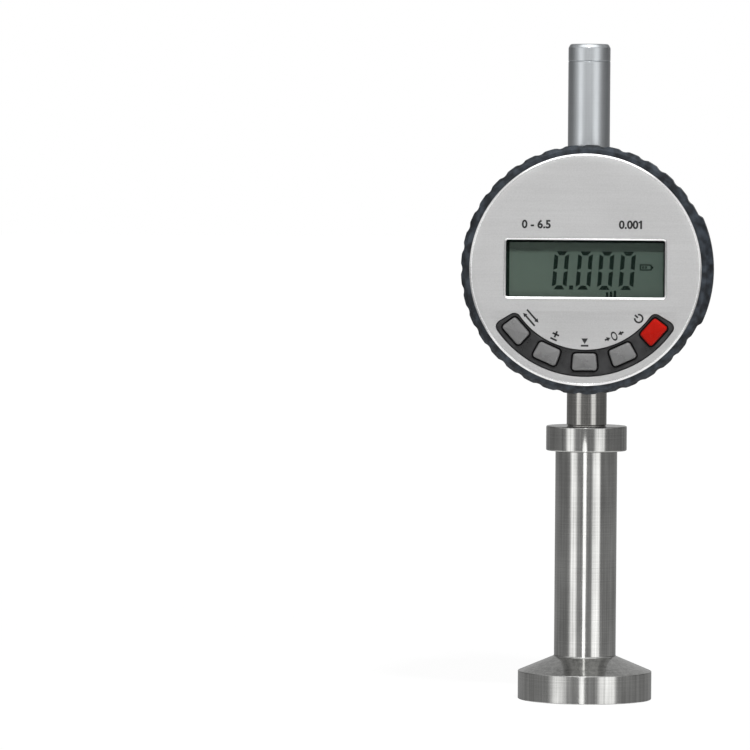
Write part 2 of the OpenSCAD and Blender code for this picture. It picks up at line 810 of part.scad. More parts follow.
module hub_ring() {
    ring_low = back_plate_top + part_gap;
    gap_w = hub_groove + hub_ring_t;
    color("black")
        on_face()
            difference() {
                tube(hub_ring_d / 2, hub_d / 2 - hub_groove + fit_gap, ring_low, ring_low + hub_ring_t);
                translate([-hub_ring_d, -gap_w / 2, ring_low - over])
                    cube([hub_ring_d, gap_w, hub_ring_t + 2 * over]);
            }
}

module reader_board() {
    color("darkgreen")
        on_face()
            difference() {
                union() {
                    translate([-reader_w / 2, -reader_h / 2, -reader_back])
                        cube([reader_w, reader_h, reader_t]);
                    translate([-reader_chip / 2, -reader_chip / 2, -reader_back - reader_t])
                        cube([reader_chip, reader_chip, reader_t]);
                }
                for (sx = [-1, 1], sy = [-1, 1])
                    translate([sx * post_x, sy * post_z, 0])
                        tube(screw_d / 2 + fit_gap, 0, -reader_back - over, -reader_front + over);
            }
}

module reader_board_screws() {
    color("silver")
        on_face()
            for (sx = [-1, 1], sy = [-1, 1])
                translate([sx * post_x, sy * post_z, 0])
                    mirror([0, 0, 1])
                        slotted_screw(
                            screw_head_d / 2, screw_head_h, screw_d / 2, screw_l,
                            reader_back + screw_head_h
                        );
}

module guide_plate() {
    slot_half = pin_d / 2 + run_gap;
    color("silver")
        difference() {
            translate([guide_x, -housing_inner, guide_low_z])
                cube([guide_t, housing_inner + carrier_back, guide_h]);
            translate([guide_x - over, -slot_half, pin_z - travel_down - pin_d])
                cube([guide_t + 2 * over, 2 * slot_half, travel_down + travel_up + 2 * pin_d]);
        }
}

module upper_bush() {
    color("goldenrod")
        bush(upper_bush_d / 2, spindle_r + run_gap, tube_low_z - upper_bush_h, tube_low_z);
}

// Top tube, cap and spring

module top_tube() {
    color("lightgray")
        rotate_extrude()
            polygon([
                [tube_in_r, tube_low_z],
                [tube_d / 2, tube_low_z],
                [tube_d / 2, cap_low_z - seam_edge],
                [tube_d / 2 - seam_edge, cap_low_z],
                [tube_in_r, cap_low_z]
            ]);
}

module tube_cap() {
    color("lightgray")
        rotate_extrude()
            polygon([
                [0, cap_spigot_z],
                [tube_in_r - fit_gap, cap_spigot_z],
                [tube_in_r - fit_gap, cap_low_z],
                [tube_d / 2 - seam_edge, cap_low_z],
                [tube_d / 2, cap_low_z + seam_edge],
                [tube_d / 2, tube_top_z - cap_edge_h],
                [tube_d / 2 - cap_edge_w, tube_top_z],
                [0, tube_top_z]
            ]);
}

module return_spring() {
    sides = 6;
    turn_rings = 16;
    rings = spring_turns * turn_rings;
    low = spring_z + wire_d / 2 + fit_gap;
    rise = cap_spigot_z - wire_d / 2 - fit_gap - low;
    points = [
        for (i = [0 : rings])
            let (turn = full_turn_deg * i / turn_rings, level = low + rise * i / rings)
            for (k = [0 : sides - 1])
                let (side = full_turn_deg * k / sides)
                let (r = spring_d / 2 + wire_d / 2 * cos(side))
                [r * cos(turn), r * sin(turn), level + wire_d / 2 * sin(side)]
    ];
    skin = [
        for (i = [0 : rings - 1], k = [0 : sides - 1])
            let (a = i * sides + k, b = i * sides + (k + 1) % sides)
            for (face = [[a, b, b + sides], [a, b + sides, a + sides]])
                face
    ];
    first_cap = [for (k = [1 : sides - 2]) [0, k + 1, k]];
    last = rings * sides;
    last_cap = [for (k = [1 : sides - 2]) [last, last + k, last + k + 1]];
    color("silver") polyhedron(points = points, faces = concat(skin, first_cap, last_cap));
}

// Display head

module bezel_ring() {
    rotate_extrude()
        polygon([
            [cavity_r, head_back],
            [bezel_r - bezel_back_edge, head_back],
            [bezel_r, head_back + bezel_back_edge],
            [bezel_r, bezel_front - bezel_edge],
            [bezel_r - bezel_edge, bezel_front],
            [plate_r + fit_gap, bezel_front],
            [plate_r + fit_gap, plate_low],
            [0, plate_low],
            [0, lcd_top],
            [cavity_r, lcd_top]
        ]);
}

// The bump is a turned profile, cut to a sector whose ends slope down to the grip
module battery_bump() {
    low_deg = bump_half_deg + bump_slope_deg;
    grip_r = bezel_r;
    intersection() {
        rotate_extrude()
            polygon([
                [cavity_r + bezel_wall / 2, head_back],
                [bump_r - bezel_back_edge, head_back],
                [bump_r, head_back + bezel_back_edge],
                [bump_r, bezel_front - bezel_edge - bump_rise],
                [bezel_r - bezel_edge, bezel_front],
                [cavity_r + bezel_wall / 2, bezel_front]
            ]);
        translate([0, 0, head_back - over])
            linear_extrude(bezel_front - head_back + 2 * over)
                polygon([
                    [0, 0],
                    [grip_r * cos(low_deg), -grip_r * sin(low_deg)],
                    [bump_r * cos(bump_half_deg), -bump_r * sin(bump_half_deg)],
                    [2 * bump_r * cos(bump_half_deg), -bump_r * sin(bump_half_deg)],
                    [2 * bump_r * cos(bump_half_deg), bump_r * sin(bump_half_deg)],
                    [bump_r * cos(bump_half_deg), bump_r * sin(bump_half_deg)],
                    [grip_r * cos(low_deg), grip_r * sin(low_deg)]
                ]);
    }
}

// The notches run round from the side opposite the bump, as far as the bump's ends
module grip_notches() {
    pitch_deg = full_turn_deg / notch_count;
    last_deg = half_turn_deg - bump_half_deg - bump_slope_deg - pitch_deg / 3;
    last = floor(last_deg / pitch_deg);
    for (i = [-last : last])
        rotate([0, 0, half_turn_deg + i * pitch_deg])
            translate([bezel_r + notch_r - notch_depth, 0, head_back - over])
                cylinder(r = notch_r, h = bezel_front - head_back + 2 * over, $fn = hull_fn);
}

module bezel() {
    color("darkslategray")
        on_face()
            difference() {
                union() {
                    difference() {
                        bezel_ring();
                        grip_notches();
                    }
                    battery_bump();
                    for (place = head_boss_places)
                        translate([place[0], place[1], 0])
                            tube(head_boss_d / 2, 0, back_plate_top, lcd_top + fit_gap);
                }
                round_slab(
                    opening_w, opening_h, window_corner_r + lens_lap,
                    lcd_top - over, plate_low + over
                );
                for (place = key_places)
                    at_key(place)
                        translate([0, 0, lcd_top - over])
                            linear_extrude(front_wall_t + 2 * over) polygon(key_outline(part_gap));
                for (place = head_boss_places)
                    translate([place[0], place[1], 0])
                        tube(screw_d / 2 + fit_gap, 0, back_plate_top - over, lcd_top);
                translate([plate_r / 2, -tray_half_w - part_gap, tray_low - part_gap])
                    cube([plate_r, 2 * (tray_half_w + part_gap), tray_top - tray_low + 2 * part_gap]);
                tube(plate_r + fit_gap, 0, plate_low, bezel_front + over);
            }
}

module face_plate() {
    color("silver")
        on_face()
            difference() {
                rotate_extrude()
                    polygon([
                        [0, plate_low],
                        [plate_r, plate_low],
                        [plate_r, plate_front - plate_edge],
                        [plate_r - plate_edge, plate_front],
                        [0, plate_front]
                    ]);
                round_slab(window_w, window_h, window_corner_r, plate_low - over, plate_front + over);
                hull() {
                    round_slab(
                        window_w, window_h, window_corner_r,
                        plate_front - window_slope, plate_front
                    );
                    round_slab(
                        window_w + 2 * window_slope, window_h + 2 * window_slope,
                        window_corner_r + window_slope, plate_front, plate_front + over
                    );
                }
                arc_slab(
                    strip_inner_r - fit_gap, strip_outer_r + fit_gap,
                    strip_half_deg + asin(fit_gap / strip_inner_r), strip_corner_r + fit_gap,
                    plate_low - over, plate_front + over
                );
            }
}

module window_lens() {
    color([0.8, 0.9, 0.9, 0.4])
        on_face()
            round_slab(
                window_w + 2 * lens_lap, window_h + 2 * lens_lap,
                window_corner_r + lens_lap, plate_low - lens_t, plate_low
            );
}

module lcd_panel() {
    color("darkseagreen")
        on_face()
            translate([-lcd_w / 2, -lcd_h / 2, lcd_low]) cube([lcd_w, lcd_h, lcd_t]);
}

module lcd_frame() {
    color("black")
        on_face()
            difference() {
                translate([-frame_w / 2, -frame_h / 2, board_top])
                    cube([frame_w, frame_h, lcd_top - board_top]);
                translate([-lcd_w / 2 - fit_gap, -lcd_h / 2 - fit_gap, board_top - over])
                    cube([lcd_w + 2 * fit_gap, lcd_h + 2 * fit_gap, lcd_top - board_top + 2 * over]);
            }
}

module lcd_connectors() {
    color("pink")
        on_face()
            for (side = [-1, 1])
                translate([-connector_l / 2, side * connector_y - connector_w / 2, board_top])
                    cube([connector_l, connector_w, connector_t]);
}

module key_frame() {
    color([0.24, 0.24, 0.24])
        on_face()
            difference() {
                arc_slab(
                    strip_inner_r, strip_outer_r, strip_half_deg, strip_corner_r,
                    plate_low, strip_front
                );
                for (place = key_places)
                    at_key(place)
                        translate([0, 0, plate_low - over])
                            linear_extrude(plate_t + 2 * over) polygon(key_outline(part_gap));
            }
}

module key_mat() {
    color("gray")
        on_face() {
            arc_slab(
                strip_inner_r + fit_gap, strip_outer_r, mat_half_deg, strip_corner_r,
                board_top, mat_top
            );
            for (place = key_places)
                at_key(place) tube(dome_d / 2, 0, mat_top - mat_t / 2, mat_top + dome_h);
        }
}

module main_board() {
    chip_x = -frame_w / 4;
    color("darkgreen")
        on_face() {
            difference() {
                tube(cavity_r - board_gap, 0, board_low, board_top);
                for (place = head_boss_places)
                    translate([place[0], place[1], 0])
                        tube(head_boss_d / 2 + fit_gap, 0, board_low - over, board_top + over);
            }
            translate([chip_x - chip_side / 2, -chip_side / 2, board_low - chip_t])
                cube([chip_side, chip_side, chip_t]);
            translate([chip_x - chip_side / 2, chip_side, board_low - chip_t])
                cube([chip_side / 2, chip_side / 4, chip_t]);
        }
}

module battery_contacts() {
    color("gold")
        on_face() {
            translate([cell_x - leaf_l / 2, leaf_spread - leaf_w / 2, board_low - leaf_t])
                cube([leaf_l, leaf_w, leaf_t]);
            translate([cell_x - leaf_l / 2, -leaf_spread - leaf_w / 2, back_plate_top])
                cube([leaf_l, leaf_w, leaf_t]);
        }
}

module head_back_plate() {
    color("dimgray")
        on_face()
            difference() {
                tube(cavity_r - fit_gap, hub_d / 2 + run_gap, head_back, back_plate_top);
                for (place = head_boss_places)
                    translate([place[0], place[1], 0]) {
                        tube(screw_d / 2 + fit_gap, 0, head_back - over, back_plate_top + over);
                        tube(
                            screw_head_d / 2 + fit_gap, 0,
                            head_back - over, head_back + thin_head_h
                        );
                    }
            }
}

module head_screws() {
    color("silver")
        on_face()
            for (place = head_boss_places)
                translate([place[0], place[1], 0])
                    mirror([0, 0, 1])
                        slotted_screw(
                            screw_head_d / 2 - fit_gap, thin_head_h, screw_d / 2, screw_l, -head_back
                        );
}

// Keys

module key(place, tint) {
    color(tint)
        on_face()
            at_key(place)
                difference() {
                    union() {
                        translate([0, 0, key_flange_low])
                            linear_extrude(key_flange_t) polygon(key_outline(key_flange_w));
                        hull() {
                            translate([0, 0, key_cap_low])
                                linear_extrude(key_front - key_edge - key_cap_low)
                                    polygon(key_outline(0));
                            translate([0, 0, key_front - key_edge])
                                linear_extrude(key_edge) polygon(key_outline(-key_edge));
                        }
                    }
                    tube(
                        dome_d / 2 + part_gap, 0,
                        key_flange_low - over, key_flange_low + dome_h + key_travel
                    );
                }
}

module units_key() {
    key(-2, "gray");
}

module tolerance_key() {
    key(-1, "gray");
}

module memory_key() {
    key(0, "gray");
}

module zero_key() {
    key(1, "gray");
}

module power_key() {
    key(2, "crimson");
}

// Battery tray

module battery_tray() {
    color("darkslategray")
        on_face()
            difference() {
                intersection() {
                    tube(bump_r, 0, tray_low, tray_top);
                    translate([tray_inner_x, -tray_half_w, tray_low])
                        cube([bump_r, 2 * tray_half_w, tray_top - tray_low]);
                }
                translate([cell_x, 0, 0]) {
                    tube(cell_d / 2 + fit_gap, 0, cell_low, tray_top + over);
                    tube(cell_d / 2 - tray_ledge_w, 0, tray_low - over, cell_low + over);
                }
                translate([bump_r, 0, tray_low])
                    rotate([quarter_turn_deg, 0, 0])
                        translate([0, 0, -cell_d / 4])
                            cylinder(r = tray_ledge_w, h = cell_d / 2, $fn = hull_fn);
            }
}

module coin_cell() {
    rim_low = cell_low + cell_t - cell_t / 4;
    color("lightgray")
        on_face()
            translate([cell_x, 0, 0])
                rotate_extrude()
                    polygon([
                        [0, cell_low],
                        [cell_d / 2, cell_low],
                        [cell_d / 2, rim_low],
                        [cell_d / 2 - tray_ledge_w, cell_low + cell_t],
                        [0, cell_low + cell_t]
                    ]);
}

// Spindle and what moves with it

module spindle_rod() {
    color("silver")
        difference() {
            rotate_extrude()
                polygon([
                    [0, extension_top_z],
                    [spindle_r, extension_top_z],
                    [spindle_r, spindle_top_z - spindle_edge],
                    [spindle_r - spindle_edge, spindle_top_z],
                    [0, spindle_top_z]
                ]);
            tube(stud_r + fit_gap, 0, extension_top_z - over, extension_top_z + stud_h + fit_gap);
        }
}

module collar_ring(outer_d, low, high) {
    rotate_extrude()
        polygon([
            [spindle_r + fit_gap, low],
            [outer_d / 2 - spindle_edge, low],
            [outer_d / 2, low + spindle_edge],
            [outer_d / 2, high - spindle_edge],
            [outer_d / 2 - spindle_edge, high],
            [spindle_r + fit_gap, high]
        ]);
}

module stop_collar() {
    color("silver") collar_ring(stop_d, stop_z, stop_z + stop_h);
}

module spring_seat() {
    color("silver") collar_ring(seat_d, seat_z, seat_z + seat_h);
}

module scale_carrier() {
    color("lightgray")
        difference() {
            translate([-carrier_w / 2, -carrier_front, carrier_z])
                cube([carrier_w, carrier_front + carrier_back, carrier_h]);
            tube(spindle_r + fit_gap, 0, carrier_z - over, carrier_z + carrier_h + over);
            translate([carrier_w / 2 - pin_grip, 0, pin_z])
                rotate([0, quarter_turn_deg, 0]) cylinder(r = pin_d / 2 + fit_gap, h = pin_grip + over);
        }
}

module scale_strip() {
    color("khaki")
        translate([-scale_w / 2, carrier_back, pin_z - scale_h / 2]) cube([scale_w, scale_t, scale_h]);
}

module guide_pin() {
    start_x = carrier_w / 2 - pin_grip;
    color("silver")
        translate([start_x, 0, pin_z])
            rotate([0, quarter_turn_deg, 0]) cylinder(r = pin_d / 2, h = pin_end_x - start_x);
}

module extension_rod() {
    color("silver")
        difference() {
            union() {
                tube(spindle_r, 0, tip_top_z, extension_top_z);
                tube(stud_r, 0, extension_top_z - stud_h, extension_top_z + stud_h);
            }
            tube(stud_r + fit_gap, 0, tip_top_z - over, tip_top_z + stud_h + fit_gap);
        }
}

module contact_point() {
    color("silver")
        rotate_extrude()
            polygon([
                [0, 0],
                [tip_flat_d / 2, 0],
                [tip_shank_d / 2, tip_cone_h],
                [tip_shank_d / 2, tip_top_z],
                [stud_r, tip_top_z],
                [stud_r, tip_top_z + stud_h],
                [0, tip_top_z + stud_h]
            ]);
}

foot_column();
tip_guide_bush();
clamp_collar();
clamp_screw();
stem();
stem_bushes();
housing();
back_cover();
back_cover_screws();
swivel_hub();
hub_ring();
reader_board();
reader_board_screws();
guide_plate();
upper_bush();
top_tube();
tube_cap();
return_spring();
bezel();
face_plate();
window_lens();
lcd_panel();
lcd_frame();
lcd_connectors();
key_frame();
key_mat();
main_board();
battery_contacts();
head_back_plate();
head_screws();
units_key();
tolerance_key();
memory_key();
zero_key();
power_key();
battery_tray();
coin_cell();
spindle_rod();
stop_collar();
scale_carrier();
scale_strip();
guide_pin();
spring_seat();
extension_rod();
contact_point();
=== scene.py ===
"""The looks of a surface profile depth gauge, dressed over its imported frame.

Lengths are in millimetres and become metres where a mesh is made. The column's axis is Z and the
display faces -Y. The pieces of the display head are drawn in the head's own frame, with x to the
right, y up and z out of the face.
"""

import logging
import math
from dataclasses import dataclass, field
from enum import Enum
from typing import Any, Callable, Iterable, Sequence, Union

import bmesh
import bpy
from mathutils import Matrix, Vector
from mathutils.geometry import tessellate_polygon


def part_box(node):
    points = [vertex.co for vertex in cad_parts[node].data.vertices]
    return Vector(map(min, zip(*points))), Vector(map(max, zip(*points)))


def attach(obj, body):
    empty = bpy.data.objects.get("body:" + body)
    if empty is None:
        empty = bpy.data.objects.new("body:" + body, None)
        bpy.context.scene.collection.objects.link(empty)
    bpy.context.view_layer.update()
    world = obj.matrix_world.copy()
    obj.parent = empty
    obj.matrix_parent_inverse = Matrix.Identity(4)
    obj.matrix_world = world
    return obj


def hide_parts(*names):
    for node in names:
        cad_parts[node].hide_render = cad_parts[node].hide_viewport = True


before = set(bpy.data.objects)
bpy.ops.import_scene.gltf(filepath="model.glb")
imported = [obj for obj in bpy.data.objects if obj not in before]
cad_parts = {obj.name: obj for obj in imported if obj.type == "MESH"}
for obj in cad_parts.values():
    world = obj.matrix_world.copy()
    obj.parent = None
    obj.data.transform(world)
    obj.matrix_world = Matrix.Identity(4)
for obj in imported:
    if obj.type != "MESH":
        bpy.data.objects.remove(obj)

MM = 0.001
FULL_TURN = 2 * math.pi
MERGE_MM = 0.0001
SHARP_DEG = 32
CUT_OVERRUN = 1.0
HOLE_SIDES = 48
FACE_SIDES = 240
CORNER_STEPS = 5
PANE_CORNER = 1.4
TONE_REACH = (0.3, 0.7)
LOG = logging.getLogger("gauge")

Point = tuple[float, float]
Corner = tuple[float, float, float]
Colour = tuple[float, float, float, float]
Loop = list[int]
Shares = tuple[float, ...]
Rows = Sequence[tuple[Sequence[Point], float]]
Value = Union["Signal", float, tuple[float, ...]]


class Body(Enum):
    """The bodies that the pieces ride on."""

    GAUGE = "gauge_body"
    HEAD = "display_head"
    UNITS = "units_button"
    TOLERANCE = "tolerance_button"
    MEMORY = "memory_button"
    ZERO = "zero_button"
    POWER = "power_button"


class Slot(Enum):
    """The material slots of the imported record."""

    TURNED_STEEL = "turned_steel"
    SATIN_TUBE = "satin_tube"
    BRONZE = "bronze"
    BLACK_STEEL = "black_steel"
    SCREW_STEEL = "screw_steel"
    SPRING_STEEL = "spring_steel"
    SPINDLE_STEEL = "spindle_steel"
    TIP_STEEL = "tip_steel"
    CASE = "case_plastic"
    BEZEL = "bezel_plastic"
    BLACK = "black_plastic"
    STRIP = "strip_plastic"
    FACE = "face_metal"
    LENS = "lens"
    DISPLAY = "display"
    RUBBER = "soft_rubber"
    BOARD = "board"
    CONTACT = "contact_metal"
    GREY_KEY = "grey_key"
    RED_KEY = "red_key"
    CELL = "cell_metal"
    CARRIER = "carrier_metal"
    SCALE = "scale_glass"


# Shader maths


def paint(code: str) -> Colour:
    """Turns a written colour such as "c4c4c4" into the linear colour that a shader takes.

    Args:
        code: Six hexadecimal digits, as the colour looks on a screen.

    Returns:
        Linear red, green and blue, and an alpha of 1.
    """
    shares = [int(code[i : i + 2], 16) / 255 for i in (0, 2, 4)]
    linear = [s / 12.92 if s <= 0.04045 else ((s + 0.055) / 1.055) ** 2.4 for s in shares]
    return (linear[0], linear[1], linear[2], 1.0)


class Signal:
    """A socket of a node tree, so that maths on it reads as Python."""

    def __init__(self, graph: "Graph", socket: bpy.types.NodeSocket) -> None:
        """Wraps one output socket of a graph."""
        self.graph = graph
        self.socket = socket

    def __add__(self, other: Value) -> "Signal":
        """Adds."""
        return self.graph.maths("ADD", self, other)

    def __sub__(self, other: Value) -> "Signal":
        """Subtracts."""
        return self.graph.maths("SUBTRACT", self, other)

    def __rsub__(self, other: Value) -> "Signal":
        """Subtracts this from a number."""
        return self.graph.maths("SUBTRACT", other, self)

    def __mul__(self, other: Value) -> "Signal":
        """Multiplies."""
        return self.graph.maths("MULTIPLY", self, other)

    __radd__ = __add__
    __rmul__ = __mul__


class Graph:
    """The node tree of a material or of the world."""

    def __init__(self, tree: bpy.types.NodeTree, output: str) -> None:
        """Empties the tree and gives it an output node of the named type."""
        tree.nodes.clear()
        self.tree = tree
        self.output = tree.nodes.new(output)

    def node(
        self,
        kind: str,
        settings: dict[str, Any] | None = None,
        inputs: dict[str | int, Value] | None = None,
        result: str | int = 0,
    ) -> Signal:
        """Adds any node.

        Args:
            kind: The node's type.
            settings: The node's own settings, which are made first; stops are a ramp's places
                and colours.
            inputs: Values or signals for its sockets, by name or number.
            result: The output that is wanted, by name or number.

        Returns:
            The wanted output.
        """
        made = self.tree.nodes.new(kind)
        for key, value in (settings or {}).items():
            if key == "stops":
                self._place_stops(made.color_ramp, value)
            else:
                setattr(made, key, value)
        for key, value in (inputs or {}).items():
            self.feed(made.inputs[key], value)
        return Signal(self, made.outputs[result])

    @staticmethod
    def _place_stops(ramp: bpy.types.ColorRamp, stops: Sequence[tuple[float, Colour]]) -> None:
        """Gives a ramp its places and colours."""
        while len(ramp.elements) < len(stops):
            ramp.elements.new(1.0)
        for element, (place, colour) in zip(ramp.elements, stops):
            element.position = place
            element.color = colour

    def feed(self, socket: bpy.types.NodeSocket, value: Value) -> None:
        """Links a signal to a socket, or sets the socket to a value."""
        if isinstance(value, Signal):
            self.tree.links.new(value.socket, socket)
        else:
            socket.default_value = value

    def maths(self, operation: str, one: Value, other: Value) -> Signal:
        """Adds a Math node for two numbers."""
        return self.node("ShaderNodeMath", {"operation": operation}, {0: one, 1: other})

    def mixed(self, share: Value, one: Value, other: Value) -> Signal:
        """Mixes two colours by a share from 0 to 1."""
        settings = {"data_type": "RGBA"}
        return self.node("ShaderNodeMix", settings, {0: share, 6: one, 7: other}, result=2)

    def stretched(self, scales: Corner) -> Signal:
        """Gives the place on the piece in metres, times a scale along each axis."""
        place = self.node("ShaderNodeTexCoord", result="Object")
        return self.node("ShaderNodeVectorMath", {"operation": "MULTIPLY"}, {0: place, 1: scales})

    def axes(self) -> tuple[Signal, Signal, Signal]:
        """Gives the place on the piece along each axis, in metres."""
        place = self.node("ShaderNodeTexCoord", result="Object")
        parts = self.node("ShaderNodeSeparateXYZ", inputs={0: place}).socket.node
        return tuple(Signal(self, parts.outputs[i]) for i in range(3))

    def line_noise(self, travel: Signal, detail: float) -> Signal:
        """Gives a noise from 0 to 1 that runs along one line."""
        inputs = {"W": travel, "Scale": 1.0, "Detail": detail}
        return self.node("ShaderNodeTexNoise", {"noise_dimensions": "1D"}, inputs)

    def noise(self, scales: Corner, detail: float = 3.0) -> Signal:
        """Gives a noise from 0 to 1 that repeats about so many times a metre along each axis."""
        inputs = {"Vector": self.stretched(scales), "Scale": 1.0, "Detail": detail}
        return self.node("ShaderNodeTexNoise", inputs=inputs)

    def spread(self, signal: Signal, low: float, high: float) -> Signal:
        """Stretches the stretch from low to high of a signal to 0 to 1, with soft ends."""
        settings = {"interpolation_type": "SMOOTHSTEP"}
        inputs = {"Value": signal, "From Min": low, "From Max": high}
        return self.node("ShaderNodeMapRange", settings, inputs)


def weighed(shares: Shares, *signals: Signal) -> Signal:
    """Adds signals up, each times its share."""
    total = signals[0] * shares[0]
    for share, signal in zip(shares[1:], signals[1:]):
        total = total + signal * share
    return total


def even(size_mm: float) -> Corner:
    """Gives the noise scales of marks of a size that run no way in particular."""
    scale = 1 / (size_mm * MM)
    return (scale, scale, scale)


def new_material(name: str) -> tuple[bpy.types.Material, Graph]:
    """Makes an empty material, and gives it with its node tree."""
    made = bpy.data.materials.new(name)
    made.use_nodes = True
    return made, Graph(made.node_tree, "ShaderNodeOutputMaterial")


# Finishes


@dataclass(frozen=True)
class Finish:
    """A surface finish: its colour, gloss and the grain that varies them."""

    name: str
    slot: Slot
    colour: str
    roughness: float = 0.45
    metallic: float = 0.0
    coat: float = 0.0
    specular: float = 0.5
    depth: float = 0.12
    gloss_shares: Shares = (0.08,)
    cloud_scale: Corner = (400.0, 400.0, 400.0)

    def material(self) -> bpy.types.Material:
        """Gives the finish's material, made when it is first asked for.

        Returns:
            The material.
        """
        known = bpy.data.materials.get(self.name)
        if known:
            return known
        made, graph = new_material(self.name)
        inputs = {
            "Metallic": self.metallic,
            "Roughness": self.roughness,
            "Coat Weight": self.coat,
            "Specular IOR Level": self.specular,
        }
        inputs.update(self.varied(graph))
        shader = graph.node("ShaderNodeBsdfPrincipled", inputs=inputs)
        graph.feed(graph.output.inputs["Surface"], shader)
        made.diffuse_color = paint(self.colour)
        return made

    def varied(self, graph: Graph) -> dict[str, Value]:
        """Gives the sockets that vary: here faint clouds in the colour and gloss."""
        clouds = graph.noise(self.cloud_scale)
        return {"Base Color": self.shaded(graph, clouds), "Roughness": self.matted(clouds)}

    def shaded(self, graph: Graph, share: Value) -> Signal:
        """Varies the colour's brightness by the finish's depth."""
        red, green, blue, alpha = paint(self.colour)
        dark = tuple(c * (1 - self.depth) for c in (red, green, blue)) + (alpha,)
        light = tuple(min(1.0, c * (1 + self.depth)) for c in (red, green, blue)) + (alpha,)
        return graph.mixed(share, dark, light)

    def matted(self, *signals: Signal) -> Signal:
        """Varies the roughness about its mean by signals from 0 to 1."""
        return self.roughness - sum(self.gloss_shares) / 2 + weighed(self.gloss_shares, *signals)

    @staticmethod
    def bumped(graph: Graph, height: Signal, depth_mm: float) -> Signal:
        """Turns a height from 0 to 1 into a normal."""
        inputs = {"Strength": 1.0, "Distance": depth_mm * MM, "Height": height}
        return graph.node("ShaderNodeBump", inputs=inputs)


@dataclass(frozen=True)
class TurnedMetal(Finish):
    """Metal off the lathe: fine rings round the axis and faint streaks along it."""

    depth: float = 0.10
    gloss_shares: Shares = (0.06, 0.04)
    cloud_scale: Corner = (130.0, 130.0, 60.0)
    tone_shares: Shares = (0.12, 0.58, 0.3)
    relief_shares: Shares = (0.7, 0.3, 6.0)
    ring_mm: float = 0.3
    ring_depth_mm: float = 0.0006
    broad_share: float = 0.06
    wide_streaks: Corner = (900.0, 900.0, 12.0)
    fine_streaks: Corner = (3200.0, 3200.0, 40.0)

    def varied(self, graph: Graph) -> dict[str, Value]:
        """Gives the rings, which run along the height and the radius, and the streaks."""
        across, along, height = graph.axes()
        radius = graph.maths("POWER", across * across + along * along, 0.5)
        travel = (height + radius) * (1 / (self.ring_mm * MM))
        rings = graph.line_noise(travel, 4.0)
        broad = graph.line_noise(travel * self.broad_share, 2.0)
        streaks = graph.noise(self.wide_streaks) * 0.5 + graph.noise(self.fine_streaks) * 0.5
        tone = weighed(self.tone_shares, rings, streaks, graph.noise(self.cloud_scale))
        relief = weighed(self.relief_shares, rings, broad, streaks)
        return {
            "Base Color": self.shaded(graph, graph.spread(tone, *TONE_REACH)),
            "Roughness": self.matted(rings, broad),
            "Normal": self.bumped(graph, relief, self.ring_depth_mm),
        }


@dataclass(frozen=True)
class BrushedMetal(Finish):
    """Sheet metal with fine brush lines from side to side."""

    depth: float = 0.08
    gloss_shares: Shares = (0.1,)
    cloud_scale: Corner = (70.0, 70.0, 90.0)
    tone_shares: Shares = (0.28, 0.14, 0.36, 0.22)
    line_mm: float = 0.16
    line_depth_mm: float = 0.0009
    line_stretch: float = 0.012
    long_lines: Corner = (20.0, 20.0, 900.0)
    speckle: Corner = (2600.0, 2600.0, 2600.0)

    def varied(self, graph: Graph) -> dict[str, Value]:
        """Gives the brush lines and faint clouds."""
        scale = 1 / (self.line_mm * MM)
        lines = graph.noise((scale * self.line_stretch, scale * self.line_stretch, scale), 4.0)
        others = (self.long_lines, self.speckle, self.cloud_scale)
        tone = weighed(self.tone_shares, lines, *[graph.noise(scales, 2.0) for scales in others])
        return {
            "Base Color": self.shaded(graph, graph.spread(tone, *TONE_REACH)),
            "Roughness": self.matted(lines),
            "Normal": self.bumped(graph, lines, self.line_depth_mm),
        }


@dataclass(frozen=True)
class MouldedPlastic(Finish):
    """Moulded plastic: a fine leathery grain and random, slightly paler patches, which are scuffs and, on
    the key strip, also painted sheen.
    """

    depth: float = 0.16
    gloss_shares: Shares = (0.08, 0.06)
    tone_shares: Shares = (0.7, 0.3)
    grain_mm: float = 0.25
    grain_depth_mm: float = 0.006
    scuff_and_sheen_mm: float = 6.0
    scuff_and_sheen_reach: Point = (0.35, 0.7)

    def varied(self, graph: Graph) -> dict[str, Value]:
        """Gives the grain and the paler patches, which are scuffs and, where they are set strong, painted
        sheen.
        """
        grain = graph.noise(even(self.grain_mm), 2.0)
        scuffs_and_sheen = graph.spread(graph.noise(even(self.scuff_and_sheen_mm), 5.0), *self.scuff_and_sheen_reach)
        return {
            "Base Color": self.shaded(graph, weighed(self.tone_shares, scuffs_and_sheen, grain)),
            "Roughness": self.matted(scuffs_and_sheen, grain),
            "Normal": self.bumped(graph, grain, self.grain_depth_mm),
        }


@dataclass(frozen=True)
class ClearPane(Finish):
    """A clear window pane with faint rub marks in its tint."""

    tint: float = 0.05
    plain_share: float = 0.6
    rubbed_share: float = 0.8
    rub_scale: Corner = (300.0, 300.0, 900.0)

    def varied(self, graph: Graph) -> dict[str, Value]:
        """Gives the colour, and the tint with its rub marks."""
        marks = graph.noise(self.rub_scale) * self.tint * self.rubbed_share
        return {"Base Color": paint(self.colour), "Alpha": self.tint * self.plain_share + marks}


